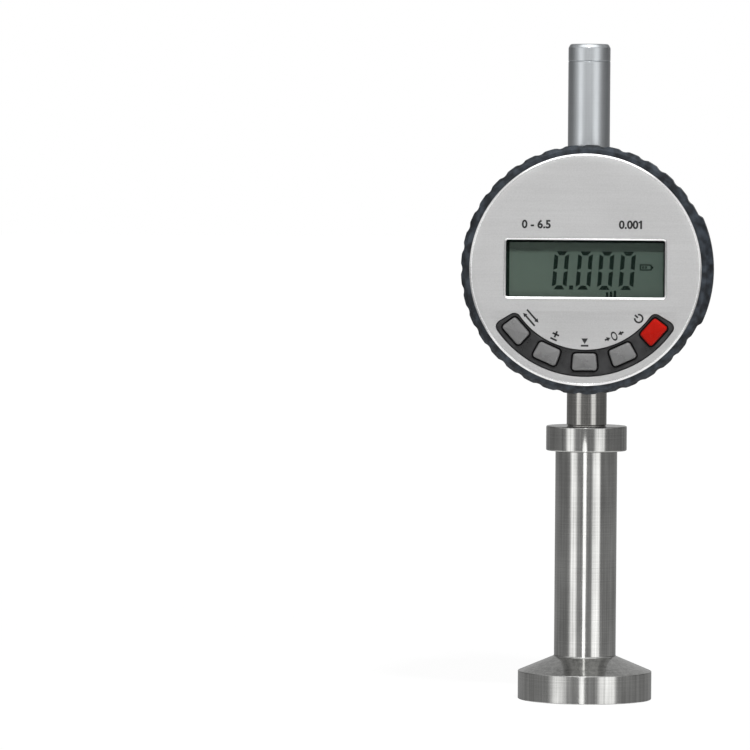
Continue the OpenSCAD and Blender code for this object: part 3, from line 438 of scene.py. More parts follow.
@dataclass(frozen=True)
class LiquidCrystal(Finish):
    """The display's reflector behind its film, with painted shading: paler towards the lower left, darker
    towards the upper right.
    """

    depth: float = 0.07
    gloss_shares: Shares = (0.06,)
    pale: str = "515e55"
    reach_mm: float = 26.0
    slope: Point = (0.8, 1.6)
    grain_mm: float = 0.25

    def varied(self, graph: Graph) -> dict[str, Value]:
        """Gives the painted shading across the display and the reflector's fine grain."""
        across, _, up = graph.axes()
        # Painted shading: pale at the lower left, running to the darker colour towards the upper right.
        fall = across * self.slope[0] + (up - HEAD_HEIGHT * MM) * self.slope[1]
        share = graph.spread(fall, -self.reach_mm * MM, self.reach_mm * MM)
        grain = graph.noise(even(self.grain_mm), 2.0)
        painted_shading = graph.mixed(share, paint(self.pale), paint(self.colour))
        low, high = 1 - self.depth, 1 + self.depth
        fine = graph.mixed(grain, (low, low, low, 1.0), (high, high, high, 1.0))
        settings = {"data_type": "RGBA", "blend_type": "MULTIPLY"}
        tone = graph.node("ShaderNodeMix", settings, {0: 1.0, 6: painted_shading, 7: fine}, result=2)
        return {"Base Color": tone, "Roughness": self.matted(grain)}


@dataclass(frozen=True)
class CircuitBoard(Finish):
    """A green board with paler tracks under its lacquer."""

    track: str = "3f7a4a"
    pitch_mm: float = 1.3
    track_reach: Point = (0.04, 0.1)
    track_height_mm: float = 0.02

    def varied(self, graph: Graph) -> dict[str, Value]:
        """Gives the tracks, which follow the edges of a cell pattern."""
        cells = graph.node(
            "ShaderNodeTexVoronoi",
            {"feature": "DISTANCE_TO_EDGE", "distance": "MANHATTAN"},
            {"Vector": graph.stretched(even(self.pitch_mm)), "Scale": 1.0},
        )
        tracks = 1.0 - graph.spread(cells, *self.track_reach)
        return {
            "Base Color": graph.mixed(tracks, paint(self.colour), paint(self.track)),
            "Normal": self.bumped(graph, tracks, self.track_height_mm),
        }


STEEL = TurnedMetal("steel_turned", Slot.TURNED_STEEL, "aeaeac", 0.13, 1.0, depth=0.42)
# The neck's steel is a darker copy of the turned steel: painted shade under the display head.
SHADED_NECK_STEEL = TurnedMetal("steel_neck_shaded", Slot.TURNED_STEEL, "9e9d9a", 0.15, 1.0, depth=0.42)
SATIN = TurnedMetal("tube_satin", Slot.SATIN_TUBE, "c6cacd", 0.30, 1.0, ring_depth_mm=0.0004)
BRONZE = TurnedMetal("bush_bronze", Slot.BRONZE, "b07a3c", 0.32, 1.0)
BLACK_STEEL = TurnedMetal("grub_screw_black", Slot.BLACK_STEEL, "34353a", 0.38, 0.9)
SCREW_STEEL = TurnedMetal("screw_bright", Slot.SCREW_STEEL, "b4b6ba", 0.24, 1.0)
SPRING_STEEL = TurnedMetal("spring_wire", Slot.SPRING_STEEL, "a4a6aa", 0.28, 1.0)
SPINDLE_STEEL = TurnedMetal("spindle_ground", Slot.SPINDLE_STEEL, "b6b7ba", 0.18, 1.0)
TIP_STEEL = TurnedMetal("tip_hardened", Slot.TIP_STEEL, "a9abb0", 0.16, 1.0)
CASE = MouldedPlastic("case_grained", Slot.CASE, "23272c", 0.46)
RIM = MouldedPlastic(
    "bezel_grained",
    Slot.BEZEL,
    "292e34",
    0.42,
    specular=0.3,
    depth=0.9,
    grain_mm=0.45,
    grain_depth_mm=0.06,
    scuff_and_sheen_mm=2.2,
)
BLACK = MouldedPlastic("inner_black", Slot.BLACK, "16171a", 0.42)
# The strip's strong paler and darker patches are scuffs, and also painted sheen and shade between the
# keys.
STRIP = MouldedPlastic(
    "strip_grey", Slot.STRIP, "2b2b2c", 0.32, depth=0.55, grain_depth_mm=0.003, scuff_and_sheen_mm=4.0
)
FACE = BrushedMetal("face_brushed", Slot.FACE, "c2c2c2", 0.42, 0.55)
EDGE = BrushedMetal("face_cut_edge", Slot.FACE, "f4f4f4", 0.16, 0.85)
LENS = ClearPane("window_clear", Slot.LENS, "3a4440", 0.06)
DISPLAY = LiquidCrystal("display_reflector", Slot.DISPLAY, "44514a", 0.38, specular=0.12)
SEGMENT = Finish("display_segment", Slot.DISPLAY, "06140f", 0.4, specular=0.05)
INK = Finish("printed_ink", Slot.BLACK, "1d1d1e", 0.5)
# Near-black gasket: a seal round each key, and painted shade in the gaps round the keys.
SHADE_GASKET = MouldedPlastic("gasket_black_shade", Slot.BLACK, "0b0b0c", 0.6, specular=0.1)
RUBBER = MouldedPlastic("mat_rubber", Slot.RUBBER, "8b8d8f", 0.7)
BOARD = CircuitBoard("board_green", Slot.BOARD, "14502c", 0.35, coat=0.3)
CONTACT = BrushedMetal("contact_gold", Slot.CONTACT, "d0a04a", 0.3, 1.0)
GREY_KEY = MouldedPlastic("key_grey", Slot.GREY_KEY, "717171", 0.30, depth=0.06, grain_depth_mm=0.003)
RED_KEY = MouldedPlastic(
    "key_red", Slot.RED_KEY, "a91206", 0.30, specular=0.12, depth=0.06, grain_depth_mm=0.003
)
CELL = TurnedMetal("cell_nickel", Slot.CELL, "c3c3bf", 0.25, 1.0)
CARRIER = BrushedMetal("carrier_aluminium", Slot.CARRIER, "bfc1c4", 0.36, 1.0)
SCALE = Finish("scale_glass", Slot.SCALE, "b9ad84", 0.15, coat=0.5)


# Meshes


@dataclass(frozen=True)
class Extent:
    """The box of a CAD node, in millimetres."""

    low: Vector
    high: Vector

    @classmethod
    def of(cls, node: str) -> "Extent":
        """Reads a node's box from the frame."""
        low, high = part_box(node)
        return cls(low / MM, high / MM)

    @property
    def radius(self) -> float:
        """Half of the node's width."""
        return (self.high.x - self.low.x) / 2

    @property
    def middle(self) -> Vector:
        """The middle of the box."""
        return (self.low + self.high) / 2

    @property
    def front(self) -> float:
        """How far the node reaches out of the face."""
        return -self.low.y

    @property
    def back(self) -> float:
        """Where the node begins behind the face."""
        return -self.high.y


HEAD_HEIGHT = Extent.of("face_plate").middle.z
WHITE = (1.0, 1.0, 1.0, 1.0)
COLUMN_FRAME = Matrix.Identity(4)
UPRIGHT = Matrix.Rotation(math.pi / 2, 4, "X")
HEAD_FRAME = Matrix.Translation((0, 0, HEAD_HEIGHT)) @ UPRIGHT


def turn(place: Point, degrees: float) -> Point:
    """Turns a flat point round the origin."""
    c, s = math.cos(math.radians(degrees)), math.sin(math.radians(degrees))
    return (place[0] * c - place[1] * s, place[0] * s + place[1] * c)


def arc(centre: Point, radius: float, start: float, end: float, steps: int) -> list[Point]:
    """Gives the points of an arc.

    Args:
        centre: The arc's centre.
        radius: Its radius.
        start: The angle of its first point, in degrees.
        end: The angle of its last point.
        steps: How many segments it has.

    Returns:
        The points, both ends among them.
    """
    angles = [math.radians(start + (end - start) * i / steps) for i in range(steps + 1)]
    return [(centre[0] + radius * math.cos(a), centre[1] + radius * math.sin(a)) for a in angles]


def circle(radius: float, sides: int) -> list[Point]:
    """Gives the corners of a circle round the origin."""
    return arc((0, 0), radius, 0, 360 * (sides - 1) / sides, sides - 1)


def rectangle(x0: float, y0: float, x1: float, y1: float) -> list[Point]:
    """Gives the corners of an upright rectangle."""
    return [(x0, y0), (x1, y0), (x1, y1), (x0, y1)]


def stepped(edge: Sequence[Point], low: float, high: float) -> list[Point]:
    """Gives the margins and levels of an edge.

    Args:
        edge: Its margins from the bottom up, each with its depth under the upper level.
        low: The lower level, where the first margin holds.
        high: The upper level.

    Returns:
        A margin and a level for each row.
    """
    return [(edge[0][0], low)] + [(margin, high - depth) for margin, depth in edge]


def softened(outline: Sequence[Corner], closed: bool = True, guard: float = 0.05) -> list[Point]:
    """Rounds the corners of an outline.

    Args:
        outline: Its corners, each with the radius that rounds it, or 0.
        closed: Whether the last corner joins the first.
        guard: Distance of a further point on each side, which keeps the flats flat.

    Returns:
        The points of the rounded outline.
    """
    points: list[Point] = []
    count = len(outline)
    for i, (x, y, radius) in enumerate(outline):
        inner = closed or 0 < i < count - 1
        if radius <= 0 or not inner:
            points.append((x, y))
            continue
        here = Vector((x, y))
        before = Vector(outline[i - 1][:2]) - here
        after = Vector(outline[(i + 1) % count][:2]) - here
        half = before.angle(after) / 2
        reach = min(radius / math.tan(half), 0.45 * before.length, 0.45 * after.length)
        bend = reach * math.tan(half)
        before.normalize()
        after.normalize()
        centre = here + (before + after).normalized() * (bend / math.sin(half))
        first, last = here + before * reach - centre, here + after * reach - centre
        sweep = first.angle_signed(last)
        points.append(tuple(here + before * (reach + guard)))
        for k in range(CORNER_STEPS + 1):
            spun = first.copy()
            spun.rotate(Matrix.Rotation(-sweep * k / CORNER_STEPS, 2))
            points.append(tuple(centre + spun))
        points.append(tuple(here + after * (reach + guard)))
    return points


class Solid:
    """A mesh in the making, in millimetres: corners, and the faces between them."""

    def __init__(self) -> None:
        """Starts with nothing."""
        self.corners: list[Vector] = []
        self.faces: list[tuple[int, ...]] = []

    def ring(self, outline: Iterable[Point], level: float) -> Loop:
        """Adds an outline at a level and gives its corners' numbers."""
        start = len(self.corners)
        self.corners.extend(Vector((x, y, level)) for x, y in outline)
        return list(range(start, len(self.corners)))

    def skin(self, rings: Sequence[Loop], closed: bool = False) -> None:
        """Joins rings of as many corners, and the last to the first where it is closed."""
        pairs = list(zip(rings, rings[1:]))
        if closed:
            pairs.append((rings[-1], rings[0]))
        for one, other in pairs:
            for i in range(len(one)):
                j = (i + 1) % len(one)
                self.faces.append((one[i], one[j], other[j], other[i]))

    def fill(self, loops: Sequence[Loop]) -> None:
        """Fills a flat outline, the first loop, around the others."""
        numbers = [i for loop in loops for i in loop]
        outlines = [[self.corners[i] for i in loop] for loop in loops]
        for triangle in tessellate_polygon(outlines):
            self.faces.append(tuple(numbers[i] for i in triangle))

    def turned(self, profile: Sequence[Point], sides: int = 160, closed: bool = True) -> None:
        """Adds a turned shape.

        Args:
            profile: Radius and level of each point of its section.
            sides: How many sides a full turn has.
            closed: Whether the section is a closed outline, and not one from axis to axis.
        """
        self.skin([self.ring(circle(r, sides), z) for r, z in profile], closed)

    def slab(self, rows: Rows) -> None:
        """Adds a closed slab from outlines at rising levels."""
        rings = [self.ring(outline, level) for outline, level in rows]
        self.skin(rings)
        self.fill([rings[0]])
        self.fill([rings[-1]])

    def pierced(self, outer: Rows, holes: Sequence[Rows]) -> None:
        """Adds a plate with holes; the rows of each edge run from the back to the front."""
        edges = [[self.ring(outline, level) for outline, level in rows] for rows in [outer, *holes]]
        for rings in edges:
            self.skin(rings)
        self.fill([rings[0] for rings in edges])
        self.fill([rings[-1] for rings in edges])

    def moved(self, place: Matrix, start: int = 0) -> None:
        """Moves the corners from a number on."""
        for corner in self.corners[start:]:
            corner.xyz = place @ corner

    def at_each(self, places: Iterable[Matrix], draw: Callable[[], None]) -> None:
        """Draws the same shape at each of several places."""
        for place in places:
            start = len(self.corners)
            draw()
            self.moved(place, start)

    def piece(self, name: str, place: Matrix = COLUMN_FRAME) -> bpy.types.Object:
        """Makes the mesh and its object.

        Args:
            name: The piece's name.
            place: The frame in which it was drawn.

        Returns:
            The object, with its origin at the frame's origin.
        """
        mesh = bpy.data.meshes.new(name)
        mesh.from_pydata([place @ corner * MM for corner in self.corners], [], self.faces)
        shell = bmesh.new()
        shell.from_mesh(mesh)
        bmesh.ops.remove_doubles(shell, verts=shell.verts, dist=MERGE_MM * MM)
        bmesh.ops.recalc_face_normals(shell, faces=shell.faces)
        shell.to_mesh(mesh)
        shell.free()
        made = linked(name, mesh)
        smooth(made)
        return made


def linked(name: str, data: bpy.types.ID) -> bpy.types.Object:
    """Makes an object of its data and puts it in the scene."""
    made = bpy.data.objects.new(name, data)
    bpy.context.scene.collection.objects.link(made)
    return made


def smooth(piece: bpy.types.Object) -> None:
    """Shades a piece smoothly up to its sharp edges."""
    piece.data.shade_smooth()
    piece.data.set_sharp_from_angle(angle=math.radians(SHARP_DEG))


def cut(piece: bpy.types.Object, cutter: bpy.types.Object) -> bpy.types.Object:
    """Cuts a shape out of a piece and removes it.

    Args:
        piece: The piece to cut.
        cutter: A closed shape.

    Returns:
        The same piece, with its new mesh.
    """
    modifier = piece.modifiers.new("cut", "BOOLEAN")
    modifier.operation = "DIFFERENCE"
    modifier.solver = "EXACT"
    modifier.object = cutter
    bpy.context.view_layer.update()
    graph = bpy.context.evaluated_depsgraph_get()
    mesh = bpy.data.meshes.new_from_object(piece.evaluated_get(graph))
    piece.modifiers.clear()
    piece.data = mesh
    bpy.data.objects.remove(cutter)
    smooth(piece)
    return piece


def box_outline(width: float, height: float, radius: float, margin: float = 0.0) -> list[Point]:
    """Gives a rectangle with rounded corners, grown by a margin."""
    x, y, r = width / 2 + margin, height / 2 + margin, radius + margin
    outline: list[Point] = []
    for sx, sy, start in ((1, 1, 0), (-1, 1, 90), (-1, -1, 180), (1, -1, 270)):
        outline += arc((sx * (x - r), sy * (y - r)), r, start, start + 90, 6)
    return outline


def settle(piece: bpy.types.Object, body: Body, finish: Finish, *nodes: str) -> None:
    """Gives a piece its finish and body, and lets it stand for CAD nodes.

    Args:
        piece: The piece, in place.
        body: The body that carries it.
        finish: Its finish.
        nodes: The CAD nodes that it replaces.
    """
    piece.data.materials.clear()
    piece.data.materials.append(finish.material())
    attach(piece, body.value)
    if nodes:
        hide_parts(*nodes)
    LOG.info("%s rides on %s, in %s", piece.name, body.value, finish.name)


def dress_node(node: str, finish: Finish) -> None:
    """Gives a CAD node its finish."""
    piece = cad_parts[node]
    if not piece.material_slots:
        piece.data.materials.append(finish.material())
    for slot in piece.material_slots:
        slot.material = finish.material()
    LOG.info("%s keeps its shape, in %s", node, finish.name)


@dataclass
class SubAssembly:
    """A group of pieces that are built and dressed together."""

    kept: dict[str, Finish] = field(default_factory=dict)

    def build(self) -> None:
        """Makes the group's own meshes."""

    def dress(self) -> None:
        """Gives the group's CAD nodes their finish."""
        for node, finish in self.kept.items():
            dress_node(node, finish)


# The studio


@dataclass
class Studio:
    """The camera, the lamps, the cards that the metal shows, the floor and the backdrop."""

    distance: float = 1440.0
    height: float = 137.0
    yaw_deg: float = 2.2
    roll_deg: float = 0.375
    lens_mm: float = 284.6
    sensor_mm: float = 36.0
    aim_left: float = 51.52
    aim_height: float = 78.4
    clip_shares: Point = (0.05, 20.0)
    card_radius: float = 1600.0
    card_low: float = -900.0
    card_high: float = 1000.0
    dome_rings: tuple[Point, ...] = ((1.0, 1.0), (0.85, 1.4), (0.6, 1.8), (0.35, 2.05), (0.02, 2.15))
    dome_steps: int = 90
    crown_step: Point = (1500.0, 1700.0)
    key_azimuth_deg: float = 15.0
    key_elevation_deg: float = 53.0
    key_reach: float = 1300.0
    key_aim: float = 90.0
    key_strength: float = 17.5
    key_size: float = 130.0
    fill_strength: float = 0.22
    strip_distance: float = 50.0
    strip_azimuth_deg: float = -1.8
    strip_width: float = 9.0
    strip_levels: Corner = (-60.0, 60.0, 62.1)
    strip_foot: Point = (4.0, 2.8)
    strip_glow: float = 2.6
    floor_reach: float = 6400.0
    floor_white: float = 0.85
    floor_glow: float = 1.02
    floor_rise: float = 0.04
    floor_rise_reach: Point = (150.0, 900.0)
    floor_glow_share: float = 0.95

    def build(self) -> None:
        """Makes everything in the studio."""
        self.camera()
        self.key_lamp()
        self.cards()
        self.floor()
        self.backdrop()

    def camera(self) -> None:
        """Places the camera at the photograph's viewing angle."""
        data = bpy.data.cameras.new("camera")
        data.lens = self.lens_mm
        data.sensor_width = self.sensor_mm
        eye = linked("camera", data)
        yaw = math.radians(self.yaw_deg)
        away = Vector((math.sin(yaw), -math.cos(yaw), 0))
        right = Vector((math.cos(yaw), math.sin(yaw), 0))
        place = away * self.distance + Vector((0, 0, self.height))
        aim = right * -self.aim_left + Vector((0, 0, self.aim_height))
        look = (aim - place).to_track_quat("-Z", "Y").to_matrix().to_4x4()
        roll = Matrix.Rotation(math.radians(self.roll_deg), 4, "Z")
        eye.matrix_world = Matrix.Translation(place * MM) @ look @ roll
        data.clip_start, data.clip_end = (self.distance * MM * share for share in self.clip_shares)
        bpy.context.scene.camera = eye

    def key_lamp(self) -> None:
        """Hangs a softbox high in front, a little to the right."""
        azimuth, elevation = math.radians(self.key_azimuth_deg), math.radians(self.key_elevation_deg)
        level, rise = math.cos(elevation), math.sin(elevation)
        place = Vector((math.sin(azimuth) * level, -math.cos(azimuth) * level, rise))
        data = bpy.data.lights.new("key_lamp", "AREA")
        data.shape = "DISK"
        data.size = self.key_size * MM
        data.energy = self.key_strength
        lamp = linked("key_lamp", data)
        lamp.location = (Vector((0, 0, self.key_aim)) + place * self.key_reach) * MM
        lamp.rotation_euler = (-place).to_track_quat("-Z", "Y").to_euler()
        lamp.visible_camera = False
        lamp.visible_glossy = False

    def card(self, name: str, solid: "Solid", glow: "Glow") -> None:
        """Makes a glowing card that only glossy surfaces show."""
        made, graph = new_material(name)
        graph.feed(graph.output.inputs["Surface"], glow.shader(graph))
        card = solid.piece(name)
        card.data.materials.append(made)
        card.visible_camera = False
        card.visible_diffuse = False
        card.visible_shadow = False
        card.visible_transmission = False

    def cards(self) -> None:
        """Stands pale and dark cards round the gauge and a narrow strip lamp in front of it."""
        wall = Solid()
        outline = circle(self.card_radius, FACE_SIDES)
        wall.skin([wall.ring(outline, self.card_low), wall.ring(outline, self.card_high)])
        self.card("card_ring", wall, Glow((LOW_BANDS, MIDDLE_BANDS, HIGH_BANDS)))
        self.card("rear_card", self.dome(0, 180), Glow((REAR_BANDS,)))
        crown = Glow((FRONT_BANDS, CROWN_BANDS), (self.crown_step,))
        self.card("front_card", self.dome(180, 360), crown)
        low, shoulder, tip = self.strip_levels
        half = self.strip_width / 2
        strip = Solid()
        foot, slim = self.strip_foot
        outline = [
            (-slim, low),
            (slim, low),
            (slim, foot),
            (half, foot + half),
            (half, shoulder),
            (0, tip),
            (-half, shoulder),
            (-half, foot + half),
            (-slim, foot),
        ]
        strip.fill([strip.ring(outline, self.strip_distance)])
        strip.moved(Matrix.Rotation(math.radians(self.strip_azimuth_deg), 4, "Z") @ UPRIGHT)
        bands = ((-180.0, self.strip_glow), (180.0, self.strip_glow))
        self.card("strip_lamp", strip, Glow((bands,)))

    def dome(self, start: float, end: float) -> "Solid":
        """Makes the part of a dome between two angles, over the ring of cards."""
        solid = Solid()
        rings = []
        for share, rise in self.dome_rings:
            outline = arc((0, 0), self.card_radius * share, start, end, self.dome_steps)
            rings.append(solid.ring(outline, self.card_high * rise))
        for one, other in zip(rings, rings[1:]):
            for i in range(len(one) - 1):
                solid.faces.append((one[i], one[i + 1], other[i + 1], other[i]))
        return solid

    def floor(self) -> None:
        """Lays a white floor that keeps the gauge's shadow."""
        solid = Solid()
        reach = self.floor_reach
        solid.fill([solid.ring(rectangle(-reach, -reach, reach, reach), 0.0)])
        sheet = solid.piece("floor")
        made, graph = new_material("floor_white")
        white = (self.floor_white, self.floor_white, self.floor_white, 1.0)
        matte = graph.node("ShaderNodeBsdfDiffuse", inputs={"Color": white})
        place = graph.node("ShaderNodeTexCoord", result="Object")
        away = graph.node("ShaderNodeVectorMath", {"operation": "LENGTH"}, {0: place}, result="Value")
        near, far = self.floor_rise_reach
        strength = self.floor_glow + graph.spread(away, near * MM, far * MM) * self.floor_rise
        glow = graph.node("ShaderNodeEmission", inputs={"Color": WHITE, "Strength": strength})
        seen = self.seen_rays(graph)
        inputs = {0: seen * self.floor_glow_share, 1: matte, 2: glow}
        both = graph.node("ShaderNodeMixShader", inputs=inputs)
        graph.feed(graph.output.inputs["Surface"], both)
        sheet.data.materials.append(made)
        sheet.visible_glossy = False

    @staticmethod
    def seen_rays(graph: Graph) -> Signal:
        """Gives 1 for rays from the camera, from metal and through glass, and 0 once they scatter."""
        names = ("Is Camera Ray", "Is Glossy Ray", "Is Transmission Ray", "Diffuse Depth")
        camera, glossy, through, depth = (
            graph.node("ShaderNodeLightPath", result=name) for name in names
        )
        clear = graph.maths("MAXIMUM", graph.maths("MAXIMUM", camera, glossy), through)
        return clear * graph.maths("LESS_THAN", depth, 0.5)

    def backdrop(self) -> None:
        """Makes the world: white where it is seen, and a plain soft fill elsewhere."""
        world = bpy.data.worlds.new("studio")
        bpy.context.scene.world = world
        world.use_nodes = True
        graph = Graph(world.node_tree, "ShaderNodeOutputWorld")
        seen = self.seen_rays(graph)
        strength = seen * (1 - self.fill_strength) + self.fill_strength
        inputs = {"Color": WHITE, "Strength": strength}
        graph.feed(graph.output.inputs["Surface"], graph.node("ShaderNodeBackground", inputs=inputs))
        bpy.context.scene.view_settings.view_transform = "Standard"


Bands = tuple[tuple[float, float], ...]


@dataclass(frozen=True)
class Glow:
    """The brightness of the cards by their angle round the gauge, for rising levels."""

    levels: tuple[Bands, ...]
    steps: tuple[Point, ...] = ((-60.0, -25.0), (105.0, 150.0))

    def shader(self, graph: Graph) -> Signal:
        """Makes the glow.

        Args:
            graph: The tree that holds it.

        Returns:
            The shader.
        """
        across, along, height = graph.axes()
        share = graph.maths("ARCTAN2", across, along * -1.0) * (1 / FULL_TURN) + 0.5
        top = max(strength for bands in self.levels for _, strength in bands)
        tones = [self.band(graph, bands, share, top) for bands in self.levels]
        level = tones[0]
        for tone, (low, high) in zip(tones[1:], self.steps):
            level = graph.mixed(graph.spread(height, low * MM, high * MM), level, tone)
        return graph.node("ShaderNodeEmission", inputs={"Color": level, "Strength": top})

    @staticmethod
    def band(graph: Graph, bands: Bands, share: Signal, top: float) -> Signal:
        """Makes the ramp of one level; its strengths become shares of the greatest."""
        stops = [(deg / 360 + 0.5, (s / top, s / top, s / top, 1.0)) for deg, s in bands]
        return graph.node("ShaderNodeValToRGB", {"stops": stops}, {"Fac": share})


REAR = 0.30
LOW_BANDS = (
    (-180.0, REAR), (-110.0, 0.33), (-70.0, 0.33), (-62.0, 0.42), (-57.0, 0.95), (-51.0, 1.85),
    (-36.0, 1.80), (-28.0, 0.55), (-14.0, 0.38), (12.0, 0.38), (24.0, 0.45), (29.0, 1.85),
    (54.0, 1.90), (59.0, 0.36), (110.0, 0.33), (180.0, REAR),
)
MIDDLE_BANDS = (
    (-180.0, REAR), (-110.0, 0.22), (-70.0, 0.22), (-60.0, 0.40), (-52.0, 1.92), (-38.0, 1.92),
    (-29.0, 0.26), (24.0, 0.26), (31.0, 1.68), (52.0, 1.68), (59.0, 0.24), (110.0, 0.24),
    (180.0, REAR),
)
HIGH_BANDS = (
    (-180.0, 0.47), (-163.0, 0.44), (-150.0, 0.22), (-110.0, 0.16), (-94.0, 0.24), (-80.0, 0.50),
    (-68.0, 0.92), (-50.0, 0.97), (-32.0, 0.94), (-12.0, 1.10), (8.0, 1.10), (30.0, 0.93),
    (45.0, 0.90), (60.0, 0.90), (83.0, 0.30), (112.0, 0.13), (150.0, 0.22), (163.0, 0.44),
    (180.0, 0.47),
)
REAR_BANDS = (
    (-180.0, 0.44), (-150.0, 0.43), (-118.0, 0.42), (-90.0, 0.45), (90.0, 0.45), (118.0, 0.42),
    (150.0, 0.43), (180.0, 0.44),
)
FRONT_BANDS = (
    (-180.0, 0.3), (-90.0, 0.5), (-62.0, 0.7), (-40.0, 0.5), (-6.0, 0.45), (-4.0, 5.0),
    (1.0, 5.0), (3.0, 0.45), (40.0, 0.5), (62.0, 0.7), (90.0, 0.5), (180.0, 0.3),
)
CROWN_BANDS = (
    (-180.0, 0.3), (-95.0, 0.5), (-64.0, 2.2), (-6.0, 2.2), (-4.0, 3.6), (1.0, 3.6), (3.0, 2.2),
    (64.0, 2.2), (95.0, 0.5), (180.0, 0.3),
)


# Foot, column and collar


@dataclass
class FootColumn(SubAssembly):
    """The flanged foot and its column, turned from one bar."""

    kept: dict[str, Finish] = field(default_factory=lambda: {"tip_guide_bush": BRONZE})
    rim_height: float = 6.8
    cone_height: float = 3.7
    column_radius: float = 7.5
    hole_radius: float = 2.5
    bore_radius: float = 4.5
    edge: float = 0.22
    fillet: float = 0.4
    seat_gap: float = 0.02
    sides: int = 192

    def build(self) -> None:
        """Turns the foot and the column."""
        foot = Extent.of("foot_column")
        bush = Extent.of("tip_guide_bush")
        collar = Extent.of("clamp_collar")
        top = foot.high.z
        cone_top = self.rim_height + self.cone_height
        spigot = Collar.spigot_radius + self.seat_gap
        seat = bush.radius + self.seat_gap
        profile = softened(
            [
                (self.hole_radius, 0, self.edge),
                (foot.radius, 0, self.edge),
                (foot.radius, self.rim_height, self.edge),
                (self.column_radius, cone_top, self.fillet),
                (self.column_radius, top, self.edge),
                (spigot, top, 0),
                (spigot, collar.low.z, 0),
                (self.bore_radius, collar.low.z, 0),
                (self.bore_radius, bush.high.z, 0),
                (seat, bush.high.z, 0),
                (seat, bush.low.z, 0),
                (self.hole_radius, bush.low.z, 0),
            ]
        )
        solid = Solid()
        solid.turned(profile, self.sides)
        settle(solid.piece("foot_column_turned"), Body.GAUGE, STEEL, "foot_column")


@dataclass
class Collar(SubAssembly):
    """The collar that clamps the indicator's stem, with its neck and its grub screw."""

    kept: dict[str, Finish] = field(
        default_factory=lambda: {"clamp_screw": BLACK_STEEL, "stem": STEEL, "stem_bushes": BRONZE}
    )
    spigot_radius: float = 6.0
    neck_radius: float = 4.85
    collar_height: float = 6.0
    edge: float = 0.3
    relief_depth: float = 0.18
    relief_height: float = 0.16
    relief_round: float = 0.1
    seat_gap: float = 0.02

    def build(self) -> None:
        """Turns the collar and its neck, and drills it for the grub screw."""
        collar = Extent.of("clamp_collar")
        column_top = Extent.of("foot_column").high.z
        screw = Extent.of("clamp_screw")
        collar_top = column_top + self.collar_height
        bore = Extent.of("stem").radius + self.seat_gap
        ring = Solid()
        ring.turned(
            softened(
                [
                    (bore, collar.low.z, 0),
                    (self.spigot_radius, collar.low.z, 0),
                    (self.spigot_radius, column_top, 0),
                    (collar.radius, column_top, self.edge),
                    (collar.radius, collar_top, self.edge),
                    (bore, collar_top, 0),
                ]
            )
        )
        across = Matrix.Translation((0, 0, screw.middle.z)) @ Matrix.Rotation(-math.pi / 2, 4, "X")
        hole = Solid()
        radius, reach = screw.radius + self.seat_gap, 2 * collar.radius
        hole.turned([(0, 0), (radius, 0), (radius, reach), (0, reach)], HOLE_SIDES, closed=False)
        piece = cut(ring.piece("clamp_collar_turned"), hole.piece("hole", across))
        settle(piece, Body.GAUGE, STEEL, "clamp_collar")
        sleeve = Solid()
        relief = self.neck_radius - self.relief_depth
        sleeve.turned(
            softened(
                [
                    (bore, collar_top, 0),
                    (relief, collar_top, 0),
                    (relief, collar_top + self.relief_height, self.relief_round),
                    (self.neck_radius, collar_top + 2 * self.relief_height, self.relief_round),
                    (self.neck_radius, collar.high.z, self.edge),
                    (bore, collar.high.z, 0),
                ]
            )
        )
        # The neck sleeve wears the darker steel, painted shade under the head.
        settle(sleeve.piece("neck_sleeve_turned"), Body.GAUGE, SHADED_NECK_STEEL)


@dataclass
class TopTube(SubAssembly):
    """The satin tube over the spindle's upper end, its cap and what is inside it."""

    kept: dict[str, Finish] = field(
        default_factory=lambda: {"upper_bush": BRONZE, "return_spring": SPRING_STEEL}
    )
    wall: float = 1.0
    seam: float = 0.22
    cap_edge_width: float = 0.55
    cap_edge_height: float = 0.95
    cap_round: float = 0.6
    cap_shoulder_round: float = 0.5
    seat_gap: float = 0.02

    def build(self) -> None:
        """Turns the tube and the cap."""
        tube = Extent.of("top_tube")
        cap = Extent.of("tube_cap")
        inner = tube.radius - self.wall
        body = Solid()
        body.turned(
            softened(
                [
                    (inner, tube.low.z, 0),
                    (tube.radius, tube.low.z, self.seam),
                    (tube.radius, tube.high.z, self.seam),
                    (inner, tube.high.z, 0),
                ]
            )
        )
        settle(body.piece("top_tube_satin"), Body.GAUGE, SATIN, "top_tube")
        spigot = inner - self.seat_gap
        lid = Solid()
        lid.turned(
            softened(
                [
                    (0, cap.low.z, 0),
                    (spigot, cap.low.z, self.seam),
                    (spigot, tube.high.z, 0),
                    (cap.radius, tube.high.z, self.seam),
                    (cap.radius, cap.high.z - self.cap_edge_height, self.cap_shoulder_round),
                    (cap.radius - self.cap_edge_width, cap.high.z, self.cap_round),
                    (0, cap.high.z, 0),
                ],
                closed=False,
            ),
            closed=False,
        )
        settle(lid.piece("tube_cap_satin"), Body.GAUGE, SATIN, "tube_cap")


# Housing and back


